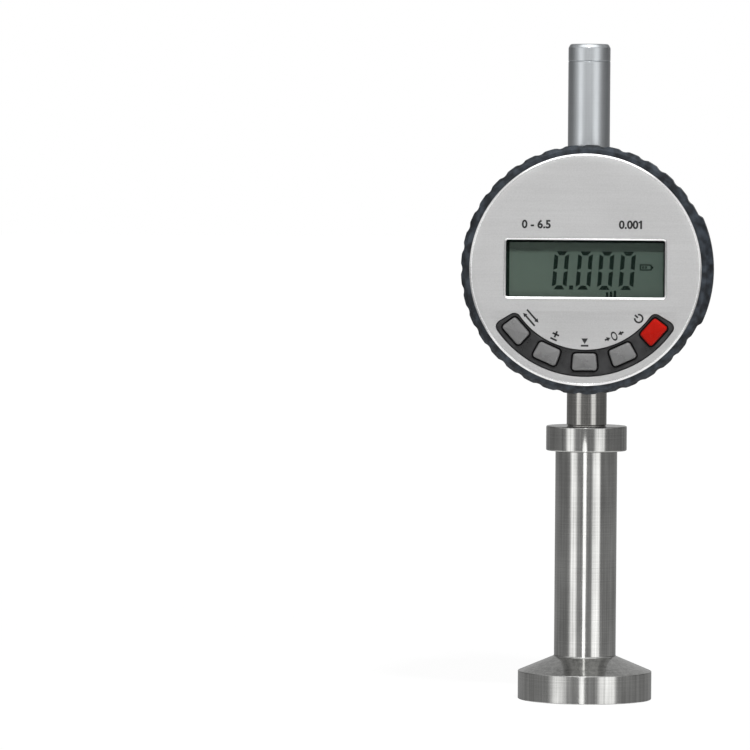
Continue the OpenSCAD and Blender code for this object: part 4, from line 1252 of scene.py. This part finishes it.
@dataclass
class Case(SubAssembly):
    """The round case behind the display head, with its cover and the cover's screws."""

    kept: dict[str, Finish] = field(
        default_factory=lambda: {
            "housing": CASE,
            "swivel_hub": SPINDLE_STEEL,
            "hub_ring": SPRING_STEEL,
            "reader_board": BOARD,
            "reader_board_screws": SCREW_STEEL,
            "guide_plate": CARRIER,
        }
    )
    edge: float = 0.8
    corner_round: float = 0.15
    recess_depth: float = 0.4
    recess_radius: float = 20.6
    screw_ring: float = 23.13
    head_radius: float = 1.8
    head_height: float = 1.1
    head_flat: float = 1.08
    head_round: float = 0.6
    head_rise: float = 0.22
    shank_radius: float = 1.0
    shank_edge: float = 0.3
    slot_width: float = 0.5
    slot_depth: float = 0.45
    first_slot_deg: float = 15.0
    slot_step_deg: float = 37.0
    gap: float = 0.03
    sides: int = 192
    screw_sides: int = 64

    def places(self, start_deg: float = 0.0, step_deg: float = 0.0) -> list[Matrix]:
        """Gives the places of the cover's four screws, each turned by a step more than the last."""
        return [
            Matrix.Translation((*turn((self.screw_ring, 0), 45 + 90 * i), 0))
            @ Matrix.Rotation(math.radians(step_deg * i + start_deg), 4, "Z")
            for i in range(4)
        ]

    def build(self) -> None:
        """Makes the rear cover and its screws."""
        cover = Extent.of("back_cover")
        screws = Extent.of("back_cover_screws")
        self.cover(cover)
        self.screws(screws)

    def cover(self, box: Extent) -> None:
        """Makes the cover with its recess and the seats of its screws."""
        corner, floor = self.corner_round, box.back + self.recess_depth
        solid = Solid()
        profile = softened(
            [
                (0, box.front, 0),
                (box.radius, box.front, corner),
                (box.radius, box.back, self.edge),
                (self.recess_radius, box.back, corner),
                (self.recess_radius, floor, corner),
                (0, floor, 0),
            ],
            closed=False,
        )
        solid.turned(profile, self.sides, closed=False)
        head, hole = self.head_radius + self.gap, self.shank_radius + self.gap
        seat, above, below = box.back + self.head_height, box.back - CUT_OVERRUN, box.front + CUT_OVERRUN
        step = [(0, above), (head, above), (head, seat), (hole, seat), (hole, below), (0, below)]
        seats = Solid()
        seats.at_each(self.places(), lambda: seats.turned(step, HOLE_SIDES, closed=False))
        piece = solid.piece("back_cover_moulded", HEAD_FRAME)
        settle(cut(piece, seats.piece("seats", HEAD_FRAME)), Body.GAUGE, CASE, "back_cover")

    def screws(self, box: Extent) -> None:
        """Makes the four slotted screws."""
        seat = box.back + self.head_height
        profile = softened(
            [
                (0, box.back, 0),
                (self.head_flat, box.back, self.head_round),
                (self.head_radius, box.back + self.head_rise, self.corner_round),
                (self.head_radius, seat, 0),
                (self.shank_radius, seat, 0),
                (self.shank_radius, box.front - self.shank_edge, 0),
                (self.shank_radius - self.shank_edge, box.front, 0),
                (0, box.front, 0),
            ],
            closed=False,
        )
        heads = Solid()
        heads.at_each(self.places(), lambda: heads.turned(profile, self.screw_sides, closed=False))
        x, y = self.head_radius + CUT_OVERRUN, self.slot_width / 2
        outline = rectangle(-x, -y, x, y)
        rows = [(outline, box.back - CUT_OVERRUN), (outline, box.back + self.slot_depth)]
        slots = Solid()
        slots.at_each(self.places(self.first_slot_deg, self.slot_step_deg), lambda: slots.slab(rows))
        piece = heads.piece("cover_screws_slotted", HEAD_FRAME)
        settle(cut(piece, slots.piece("slots", HEAD_FRAME)), Body.GAUGE, SCREW_STEEL, "back_cover_screws")


# Display head


@dataclass
class Keys:
    """The outlines of the key strip and its keys, which the bezel, plate, strip and keys share."""

    ring_radius: float = 22.1
    pitch_deg: float = 24.1
    inner_width: float = 5.6
    outer_width: float = 6.35
    length: float = 4.25
    corner: float = 0.8
    gap: float = 0.3
    strip_inner: float = 19.2
    strip_outer: float = 25.7
    strip_half_deg: float = 59.0
    strip_corner: float = 1.6
    long_steps: int = 60
    corner_steps: int = 6

    def cap(self, margin: float, share: float = 1.0) -> list[Point]:
        """Gives a key's outline, its top towards the face's middle.

        Args:
            margin: How far the outline is grown.
            share: A scale about the key's middle.

        Returns:
            The outline's points.
        """
        y = self.length / 2 + margin
        outer, inner = self.outer_width / 2 + margin, self.inner_width / 2 + margin
        radius = self.corner + margin
        corners = [(-outer, -y, radius), (outer, -y, radius), (inner, y, radius), (-inner, y, radius)]
        return [(x * share, y * share) for x, y in softened(corners, guard=0)]

    def place(self, number: int) -> Matrix:
        """Gives the place of a key, counted from the middle one."""
        spun = Matrix.Rotation(math.radians(number * self.pitch_deg), 4, "Z")
        return spun @ Matrix.Translation((0, -self.ring_radius, 0))

    def opening(self, number: int, margin: float) -> list[Point]:
        """Gives the outline of a key's opening in the head's frame."""
        place = self.place(number)
        return [tuple((place @ Vector((x, y, 0))).xy) for x, y in self.cap(margin)]

    def strip(self, margin: float) -> list[Point]:
        """Gives the curved strip's outline, grown by a margin."""
        corner = self.strip_corner
        outer, inner = self.strip_outer - corner, self.strip_inner + corner
        outer_half = self.strip_half_deg - math.degrees(math.asin(corner / outer))
        inner_half = self.strip_half_deg - math.degrees(math.asin(corner / inner))
        side, bend = self.strip_half_deg + 90, corner + margin
        long, short = self.long_steps, self.corner_steps
        outline = arc((0, 0), self.strip_outer + margin, -90 - outer_half, -90 + outer_half, long)[1:-1]
        outline += arc(turn((0, -outer), outer_half), bend, -90 + outer_half, -90 + side, short)
        outline += arc(turn((0, -inner), inner_half), bend, -90 + side, 90 + inner_half, short)
        outline += arc((0, 0), self.strip_inner - margin, -90 + inner_half, -90 - inner_half, long)[1:-1]
        outline += arc(turn((0, -inner), -inner_half), bend, -270 - inner_half, -90 - side, short)
        outline += arc(turn((0, -outer), -outer_half), bend, -90 - side, -90 - outer_half, short)
        return outline


KEYS = Keys()
KEY_NUMBERS = (-2, -1, 0, 1, 2)


@dataclass
class Bezel(SubAssembly):
    """The dark rim with its grip notches, the battery bump and the wall behind the face."""

    kept: dict[str, Finish] = field(
        default_factory=lambda: {"head_back_plate": BLACK, "head_screws": SCREW_STEEL}
    )
    notch_count: int = 37
    notch_depth: float = 0.35
    notch_radius: float = 2.2
    notch_blend: float = 0.05
    bump_half_deg: float = 24.0
    bump_slope_deg: float = 2.6
    front_edge: float = 1.0
    back_edge: float = 0.4
    back_round: float = 0.1
    side_round: float = 0.15
    front_round: float = 0.35
    crest_round: float = 0.25
    lip_round: float = 0.08
    wall: float = 3.4
    gap: float = 0.02
    columns: int = 888

    def grip(self, degrees: float, radius: float, rise: float) -> float:
        """Gives the rim's radius at an angle.

        Args:
            degrees: The angle round the face.
            radius: The radius of the rim's lands.
            rise: How far the bump stands out of them.

        Returns:
            The radius with the notch or bump that is there.
        """
        from_bump = abs((degrees + 180) % 360 - 180)
        past = (from_bump - self.bump_half_deg) / self.bump_slope_deg
        if past < 1:
            share = min(1.0, max(0.0, past))
            return radius + rise * (1 - share * share * (3 - 2 * share))
        pitch = 360 / self.notch_count
        nearest = round((degrees - 180) / pitch)
        centre_deg = 180 + nearest * pitch
        last = math.floor((180 - self.bump_half_deg - self.bump_slope_deg - pitch / 3) / pitch)
        if abs((centre_deg + 180) % 360 - 180) < 180 - last * pitch - 0.01:
            return radius
        off = math.radians(degrees - centre_deg)
        centre = radius + self.notch_radius - self.notch_depth
        inside = self.notch_radius**2 - (centre * math.sin(off)) ** 2
        if inside <= 0:
            return radius
        notch = centre * math.cos(off) - math.sqrt(inside)
        blend = max(0.0, 1 - abs(radius - notch) / (4 * self.notch_blend))
        return min(radius, notch) - self.notch_blend * blend * blend

    def build(self) -> None:
        """Makes the rim, the wall and the slot for the battery tray."""
        box = Extent.of("bezel")
        plate = Extent.of("face_plate")
        lcd = Extent.of("lcd_panel")
        lens = Extent.of("window_lens")
        tray = Extent.of("battery_tray")
        back_plate = Extent.of("head_back_plate")
        radius = box.high.z - HEAD_HEIGHT
        rise = box.high.x - radius
        cavity = radius - self.wall
        land = plate.radius + self.gap
        spots = [360 * i / self.columns for i in range(self.columns)]
        grips = [self.grip(degrees, radius, rise) for degrees in spots]
        shoulder = radius - self.front_edge
        sections = [
            softened(
                [
                    (cavity, lcd.front, 0),
                    (cavity, box.back, self.back_round),
                    (grip - self.back_edge, box.back, self.side_round),
                    (grip, box.back + self.back_edge, self.side_round),
                    (grip, box.front - (grip - shoulder), self.front_round),
                    (shoulder, box.front, self.crest_round),
                    (land, box.front, self.lip_round),
                    (land, plate.back, 0),
                ],
                closed=False,
            )
            for grip in grips
        ]
        solid = Solid()
        rings = []
        for k in range(len(sections[0])):
            outline = [turn((section[k][0], 0), degrees) for section, degrees in zip(sections, spots)]
            rings.append(solid.ring(outline, 0.0))
            for number, section in zip(rings[-1], sections):
                solid.corners[number].z = section[k][1]
        solid.skin(rings)
        width, height = 2 * lens.radius, lens.high.z - lens.low.z
        window = box_outline(width + 2 * self.gap, height + 2 * self.gap, PANE_CORNER)
        holes = [window] + [KEYS.opening(number, KEYS.gap) for number in KEY_NUMBERS]
        edges = [[solid.ring(hole, level) for level in (lcd.front, plate.back)] for hole in holes]
        for edge in edges:
            solid.skin(edge)
        solid.fill([rings[0]] + [edge[0] for edge in edges])
        solid.fill([rings[-1]] + [edge[1] for edge in edges])
        half = (tray.high.z - tray.low.z) / 2 + KEYS.gap
        outline = rectangle(plate.radius / 2, -half, 2 * radius, half)
        slot = Solid()
        slot.slab([(outline, back_plate.front), (outline, tray.front + KEYS.gap)])
        rim = cut(solid.piece("bezel_rim", HEAD_FRAME), slot.piece("slot", HEAD_FRAME))
        settle(rim, Body.HEAD, RIM, "bezel")


@dataclass
class FacePlate(SubAssembly):
    """The satin face plate with its window, and the bright cut edges round both."""

    roll_width: float = 1.6
    roll_depth: float = 0.14
    roll_steps: int = 9
    rim_width: float = 0.55
    rim_depth: float = 0.26
    rim_round: float = 0.06
    crest_width: float = 0.12
    crest_rise: float = 0.04
    slope_width: float = 0.5
    slope_depth: float = 0.28
    slope_edge: float = 0.05
    slope_land: float = 0.03
    opening_edge: tuple[Point, ...] = ((0.02, 0.12), (0.05, 0.04), (0.12, 0.0))
    window_width: float = 38.2
    window_height: float = 13.7
    window_corner: float = 0.5
    window_rise: float = 0.3
    gap: float = 0.03

    def build(self) -> None:
        """Makes the plate and its two bright edges."""
        plate = Extent.of("face_plate")
        front, back, radius = plate.front, plate.back, plate.radius
        rim = radius - self.rim_width
        rolls = [math.pi / 2 * i / self.roll_steps for i in range(self.roll_steps + 1)]
        levels = [(rim - self.gap, back)] + [
            (
                rim - self.gap - self.roll_width * (1 - math.cos(bend)),
                front - self.roll_depth * (1 - math.sin(bend)),
            )
            for bend in rolls
        ]
        outer = [(circle(r, FACE_SIDES), level) for r, level in levels]
        lap = self.slope_width + self.gap
        window = [(self.window(lap), back), (self.window(lap), front)]
        edge = stepped(self.opening_edge, back, front)
        strip = [(KEYS.strip(margin), level) for margin, level in edge]
        solid = Solid()
        solid.pierced(outer, [window, strip])
        settle(solid.piece("face_plate_satin", HEAD_FRAME), Body.HEAD, FACE, "face_plate")
        self.rim(rim, plate)
        self.window_edge(lap - self.gap, plate)

    def rim(self, inner: float, plate: Extent) -> None:
        """Makes the bright cut edge round the plate."""
        radius, crest = plate.radius, plate.front - self.roll_depth
        band = Solid()
        band.turned(
            softened(
                [
                    (inner, plate.back, 0),
                    (radius, plate.back, 0),
                    (radius, crest - self.rim_depth, self.rim_round),
                    (inner + self.crest_width, crest + self.crest_rise, self.crest_width),
                    (inner, crest, 0),
                ]
            ),
            FACE_SIDES,
        )
        settle(band.piece("face_rim", HEAD_FRAME), Body.HEAD, EDGE)

    def window_edge(self, outer: float, plate: Extent) -> None:
        """Makes the bright cut edge that slopes down to the window's pane."""
        front, step = plate.front, self.slope_edge
        top, foot = self.slope_width - step, front - self.slope_depth
        rows = [
            (outer, plate.back),
            (outer, front - step),
            (top, front),
            (top - self.slope_land, front),
            (step, foot),
            (0.0, foot - step),
            (0.0, plate.back),
        ]
        edge = Solid()
        rings = [edge.ring(self.window(margin), level) for margin, level in rows]
        edge.skin(rings, closed=True)
        settle(edge.piece("window_edge", HEAD_FRAME), Body.HEAD, EDGE)

    def window(self, margin: float) -> list[Point]:
        """Gives the window's outline, grown by a margin."""
        outline = box_outline(self.window_width, self.window_height, self.window_corner, margin)
        return [(x, y + self.window_rise) for x, y in outline]


@dataclass
class Display(SubAssembly):
    """The pane, the liquid crystal panel and its digits."""

    kept: dict[str, Finish] = field(
        default_factory=lambda: {"lcd_frame": BLACK, "lcd_connectors": RUBBER}
    )
    digit_height: float = 9.2
    digit_width: float = 3.55
    stroke: float = 0.98
    split: float = 0.30
    slant: float = 0.075
    left: float = -8.15
    base: float = -4.8
    pitch: float = 5.16
    point_room: float = 0.55
    point_gap: float = 0.66
    mitre: float = 0.343
    mitre_low: float = 0.539
    mitre_high: float = 1.078
    mitre_inner: float = 1.029
    ink: float = 0.02
    pane_bevel: float = 0.05
    film: float = 0.15
    glass_insets: Corner = (0.0, 0.6, 0.9)
    glass_corner: float = 0.3
    glass_edge: float = 0.03
    # Dark bands at the film's left, right and top edges: painted shade of the window's recess, drawn on
    # the film.
    painted_shade_bands: tuple[tuple[float, float, float, float], ...] = (
        (-19.4, -7.4, -18.35, 7.4),
        (18.75, -7.4, 19.3, 7.4),
        (-18.35, 6.5, 18.75, 7.4),
    )
    cell_place: Point = (13.0, -0.1)
    cell_size: Point = (2.9, 1.5)
    cell_line: float = 0.3
    cell_knob: float = 0.35
    knob_shares: Point = (0.3, 0.7)
    charge_edge: float = 0.5
    charge_places: tuple[Point, ...] = ((0.55, 1.05), (1.25, 1.75))
    bar_places: tuple[float, ...] = (4.9, 5.85, 6.8)
    bar_width: float = 0.6
    bar_low: float = -6.6
    bar_tops: tuple[float, ...] = (-5.4, -5.2, -5.0)

    def build(self) -> None:
        """Makes the pane, the panel and the digits."""
        self.pane()
        self.panel()
        self.digits()

    def pane(self) -> None:
        """Makes the clear pane."""
        box = Extent.of("window_lens")
        width, height, bevel = 2 * box.radius, box.high.z - box.low.z, self.pane_bevel
        outline = box_outline(width, height, PANE_CORNER)
        inner = box_outline(width - 2 * bevel, height - 2 * bevel, PANE_CORNER - 2 * bevel)
        levels = (box.back, box.back + bevel, box.front - bevel, box.front)
        solid = Solid()
        solid.slab(list(zip((inner, outline, outline, inner), levels)))
        piece = solid.piece("window_pane", HEAD_FRAME)
        piece.visible_shadow = False
        settle(piece, Body.HEAD, LENS, "window_lens")

    def panel(self) -> None:
        """Makes the panel: two sheets of glass, the lower one wider, under a film."""
        box = Extent.of("lcd_panel")
        width, height = 2 * box.radius, box.high.z - box.low.z
        middle = (box.back + box.front) / 2
        film = box.front - self.film
        corner, edge = self.glass_corner, self.glass_edge
        solid = Solid()
        lows, highs = (box.back, middle, film), (middle, film, box.front)
        for low, high, inset in zip(lows, highs, self.glass_insets):
            w, h = width - inset, height - 2 * inset
            outline = box_outline(w, h, corner)
            inner = box_outline(w - 2 * edge, h - 2 * edge, corner - edge)
            solid.slab([(inner, low), (outline, low + edge), (outline, high - edge), (inner, high)])
        settle(solid.piece("display_panel", HEAD_FRAME), Body.HEAD, DISPLAY, "lcd_panel")

    def digits(self) -> None:
        """Draws 0.000 in segments, a cell sign at its right, bars below, and dark bands of painted shade
        at the film's edges.
        """
        level = Extent.of("lcd_panel").front
        solid = Solid()
        x = self.left
        for number in range(4):
            self.zero(solid, x, level)
            if number == 0:
                dot, base, side = x + self.digit_width + self.point_gap, self.base, self.stroke
                self.patch(solid, (dot, base, dot + side, base + side), level)
                x += self.point_room
            x += self.pitch
        # The last rectangles are the bands of painted shade at the film's edges.
        for corners in (*self.cell(), *self.bars(), *self.painted_shade_bands):
            self.patch(solid, corners, level)
        settle(solid.piece("display_digits", HEAD_FRAME), Body.HEAD, SEGMENT)

    def zero(self, solid: Solid, x: float, level: float) -> None:
        """Draws the six segments of a nought, leaning a little to the right."""
        w, h, t, g = self.digit_width, self.digit_height, self.stroke, self.split / 2
        low, high = self.mitre_low + g, self.mitre_high + g
        out, inner = self.mitre + g, self.mitre_inner + g
        side = [(0, low), (0, h / 2 - g), (t, h / 2 - out), (t, high)]
        foot = [(out, 0), (w - out, 0), (w - inner, t), (inner, t)]
        shapes = [side, [(w - a, b) for a, b in side], foot]
        shapes += [[(a, h - b) for a, b in shape] for shape in shapes]
        for shape in shapes:
            leaning = [(x + a + b * self.slant, self.base + b) for a, b in shape]
            solid.slab([(leaning, level), (leaning, level + self.ink)])

    def patch(self, solid: Solid, corners: Sequence[float], level: float) -> None:
        """Draws an upright rectangle from its left, lower, right and upper end."""
        outline = rectangle(*corners)
        solid.slab([(outline, level), (outline, level + self.ink)])

    def cell(self) -> list[tuple[float, float, float, float]]:
        """Gives the rectangles of a small cell sign."""
        x, y = self.cell_place
        w, h = self.cell_size
        t, edge = self.cell_line, self.charge_edge
        low, high = self.knob_shares
        case = [
            (x, y, x + w, y + t),
            (x, y + h - t, x + w, y + h),
            (x, y + t, x + t, y + h - t),
            (x + w - t, y + t, x + w, y + h - t),
            (x + w, y + h * low, x + w + self.cell_knob, y + h * high),
        ]
        return case + [(x + a, y + edge, x + b, y + h - edge) for a, b in self.charge_places]

    def bars(self) -> list[tuple[float, float, float, float]]:
        """Gives three level bars under the digits."""
        return [(x, self.bar_low, x + self.bar_width, y) for x, y in zip(self.bar_places, self.bar_tops)]


@dataclass
class KeyStrip(SubAssembly):
    """The dark strip, the rubber mat, the five keys and their near-black gaskets, which are also painted
    shade in the gaps round the keys.
    """

    kept: dict[str, Finish] = field(default_factory=lambda: {"key_mat": RUBBER})
    crown: float = 0.16
    crown_steps: int = 7
    edge_width: float = 0.6
    edge_height: float = 0.48
    edge_steps: int = 6
    relief: float = 0.10
    strip_edge: tuple[Point, ...] = ((-0.2, 0.4), (-0.2, 0.18), (-0.24, 0.05), (-0.32, 0.0))
    hole_edge: tuple[Point, ...] = ((0.34, 0.15), (0.35, 0.05), (0.37, 0.0))
    gasket_low: float = 0.4
    gasket_high: float = 0.08
    gasket_outer: float = 0.33
    gasket_inner: float = -0.04
    flange_width: float = 0.5
    flange_edge: float = 0.05
    flange_thickness: float = 0.6

    def build(self) -> None:
        """Makes the strip and the keys."""
        box = Extent.of("key_frame")
        low, high = box.back, box.front
        outer = [(KEYS.strip(margin), level) for margin, level in stepped(self.strip_edge, low, high)]
        edge = stepped(self.hole_edge, low, high)
        holes = [[(KEYS.opening(n, margin), level) for margin, level in edge] for n in KEY_NUMBERS]
        solid = Solid()
        solid.pierced(outer, holes)
        settle(solid.piece("key_strip", HEAD_FRAME), Body.HEAD, STRIP, "key_frame")
        self.shade_gaskets(high)
        names = ("units_key", "tolerance_key", "memory_key", "zero_key", "power_key")
        bodies = (Body.UNITS, Body.TOLERANCE, Body.MEMORY, Body.ZERO, Body.POWER)
        for number, name, body in zip(KEY_NUMBERS, names, bodies):
            finish = RED_KEY if body is Body.POWER else GREY_KEY
            settle(self.key(number, f"{name}_cap"), body, finish, name)

    def shade_gaskets(self, level: float) -> None:
        """Puts a thin black gasket round each key, a little below the strip's surface; its near-black is
        painted shade in the gaps round the keys.
        """
        low, high = level - self.gasket_low, level - self.gasket_high
        solid = Solid()
        for number in KEY_NUMBERS:
            outer = KEYS.opening(number, self.gasket_outer)
            inner = KEYS.opening(number, self.gasket_inner)
            solid.pierced([(outer, low), (outer, high)], [[(inner, low), (inner, high)]])
        settle(solid.piece("key_shade_gaskets", HEAD_FRAME), Body.HEAD, SHADE_GASKET)

    def key(self, number: int, name: str) -> bpy.types.Object:
        """Makes one key with a soft edge and a low crown."""
        box = Extent.of("memory_key")
        low, top = box.back, box.front - self.crown
        flange_top = low + self.flange_thickness
        rows = [
            (KEYS.cap(self.flange_width - self.flange_edge), low),
            (KEYS.cap(self.flange_width), low + self.flange_edge),
            (KEYS.cap(self.flange_width), flange_top),
            (KEYS.cap(-self.relief), flange_top),
            (KEYS.cap(-self.relief), top - self.edge_height),
        ]
        for i in range(1, self.edge_steps + 1):
            bend = math.pi / 2 * i / self.edge_steps
            margin = -self.relief - self.edge_width * (1 - math.cos(bend))
            rows.append((KEYS.cap(margin), top - self.edge_height * (1 - math.sin(bend))))
        for i in range(1, self.crown_steps):
            share = i / self.crown_steps
            rise = self.crown * (1 - (1 - share) ** 2)
            rows.append((KEYS.cap(-self.relief - self.edge_width, 1 - share), top + rise))
        solid = Solid()
        solid.slab(rows)
        solid.moved(KEYS.place(number))
        return solid.piece(name, HEAD_FRAME)


@dataclass
class PrintedMarks(SubAssembly):
    """The plain numbers over the window and the small signs over the keys."""

    ink: float = 0.015
    line: float = 0.44
    font_size: float = 2.7
    font_weight: float = 0.1
    font_steps: int = 4
    mark_level: float = 10.8
    range_place: float = -11.8
    step_place: float = 11.0
    flag_inset: Point = (0.308, 0.05)
    flag: tuple[Point, ...] = ((0.0, 0.0), (0.0, -0.45), (-0.55, -0.7), (-0.55, -0.38))
    arrow_length: float = 0.95
    arrow_half: float = 0.55
    arrow_neck: float = 0.8
    bow_radius: float = 0.95
    bow_steps: int = 24
    nought_squash: float = 0.62
    sign_radius: float = 17.35

    def build(self) -> None:
        """Prints the numbers and the signs on the face plate."""
        level = Extent.of("face_plate").front
        marks = (("range_mark", "0 - 6.5", self.range_place), ("step_mark", "0.001", self.step_place))
        for name, text, x in marks:
            settle(self.number(name, text, (x, self.mark_level), level), Body.HEAD, INK)
        signs = Solid()
        drawn = (self.sign_swap, self.sign_plus, self.sign_hold, self.sign_zero, self.sign_power)
        for number, sign in zip(KEY_NUMBERS, drawn):
            start = len(signs.corners)
            for outline in sign():
                signs.slab([(outline, level), (outline, level + self.ink)])
            spun = Matrix.Rotation(math.radians(number * KEYS.pitch_deg), 4, "Z")
            signs.moved(spun @ Matrix.Translation((0, -self.sign_radius, 0)), start)
        settle(signs.piece("key_signs", HEAD_FRAME), Body.HEAD, INK)

    def number(self, name: str, text: str, place: Point, level: float) -> bpy.types.Object:
        """Prints plain numbers.

        Args:
            name: The piece's name.
            text: The numbers.
            place: Their middle on the face.
            level: The surface that they lie on.

        Returns:
            The printed piece.
        """
        curve = bpy.data.curves.new(name, "FONT")
        curve.body = text
        curve.size = self.font_size
        curve.align_x = "CENTER"
        curve.align_y = "CENTER"
        curve.extrude = self.ink / 2
        curve.offset = self.font_weight
        curve.resolution_u = self.font_steps
        source = linked(name, curve)
        bpy.context.view_layer.update()
        graph = bpy.context.evaluated_depsgraph_get()
        mesh = bpy.data.meshes.new_from_object(source.evaluated_get(graph))
        bpy.data.objects.remove(source)
        solid = Solid()
        solid.corners.extend(corner.co.copy() for corner in mesh.vertices)
        solid.faces.extend(tuple(face.vertices) for face in mesh.polygons)
        if text.endswith("1"):
            inset, drop = self.flag_inset
            right = max(corner.x for corner in solid.corners) - inset
            top = max(corner.y for corner in solid.corners) - drop
            flag = [(right + x, top + y) for x, y in self.flag]
            solid.slab([(flag, -self.ink / 2), (flag, self.ink / 2)])
        return solid.piece(name, HEAD_FRAME @ Matrix.Translation((*place, level + self.ink / 2)))

    def stroke(self, start: Point, end: Point) -> list[Point]:
        """Gives the outline of a straight line."""
        one, other = Vector(start), Vector(end)
        along = (other - one).normalized() * (self.line / 2)
        across = Vector((-along.y, along.x))
        return [tuple(one - across), tuple(other - across), tuple(other + across), tuple(one + across)]

    def bow(self, squash: float, start: float, end: float) -> list[list[Point]]:
        """Gives the outlines of a round line, as short pieces."""
        outer, inner = self.bow_radius + self.line / 2, self.bow_radius - self.line / 2
        step = (end - start) / self.bow_steps
        pieces = []
        for i in range(self.bow_steps):
            a, b = start + step * i, start + step * (i + 1)
            corners = arc((0, 0), outer, a, b, 1) + arc((0, 0), inner, b, a, 1)
            pieces.append([(x * squash, y) for x, y in corners])
        return pieces

    def arrow(self, tip: Point, way: int, length: float) -> list[list[Point]]:
        """Gives the outlines of an arrow that points left or right."""
        x, y = tip
        back = x - way * self.arrow_length
        head = [(x, y), (back, y + self.arrow_half), (back, y - self.arrow_half)]
        return [head, self.stroke((x - way * self.arrow_neck, y), (x - way * length, y))]

    def sign_swap(self) -> list[list[Point]]:
        """Two arrows that point opposite ways."""
        return self.arrow((2.1, 0.55), 1, 4.2) + self.arrow((-2.1, -0.65), -1, 4.2)

    def sign_plus(self) -> list[list[Point]]:
        """Plus over minus."""
        return [
            self.stroke((-0.85, 0.35), (0.85, 0.35)),
            self.stroke((0, -0.45), (0, 1.15)),
            self.stroke((-0.85, -0.95), (0.85, -0.95)),
        ]

    def sign_hold(self) -> list[list[Point]]:
        """An arrowhead down on a line."""
        return [[(-0.8, 0.9), (0, -0.45), (0.8, 0.9)], self.stroke((-0.9, -0.85), (0.9, -0.85))]

    def sign_zero(self) -> list[list[Point]]:
        """A nought between two arrows."""
        ends = self.arrow((-0.95, 0), 1, 1.5) + self.arrow((0.95, 0), -1, 1.5)
        return ends + self.bow(self.nought_squash, 0, 360)

    def sign_power(self) -> list[list[Point]]:
        """A broken ring with a bar in its gap."""
        return self.bow(1.0, 125, 415) + [self.stroke((0, 0.25), (0, 1.25))]


@dataclass
class InnerWorks(SubAssembly):
    """What the case and the head hold: the board, the contacts, the cell and the spindle."""

    kept: dict[str, Finish] = field(
        default_factory=lambda: {
            "main_board": BOARD,
            "battery_contacts": CONTACT,
            "battery_tray": RIM,
            "coin_cell": CELL,
            "spindle_rod": SPINDLE_STEEL,
            "stop_collar": SPINDLE_STEEL,
            "scale_carrier": CARRIER,
            "scale_strip": SCALE,
            "guide_pin": SPINDLE_STEEL,
            "spring_seat": SPINDLE_STEEL,
            "extension_rod": SPINDLE_STEEL,
            "contact_point": TIP_STEEL,
        }
    )


def main() -> None:
    """Builds the studio and the gauge."""
    logging.basicConfig(level=logging.INFO, format="%(message)s")
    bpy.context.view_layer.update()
    Studio().build()
    for assembly in (
        FootColumn(),
        Collar(),
        TopTube(),
        Case(),
        Bezel(),
        FacePlate(),
        Display(),
        KeyStrip(),
        PrintedMarks(),
        InnerWorks(),
    ):
        assembly.build()
        assembly.dress()
        LOG.info("%s is built", type(assembly).__name__)


if __name__ == "__main__":
    main()
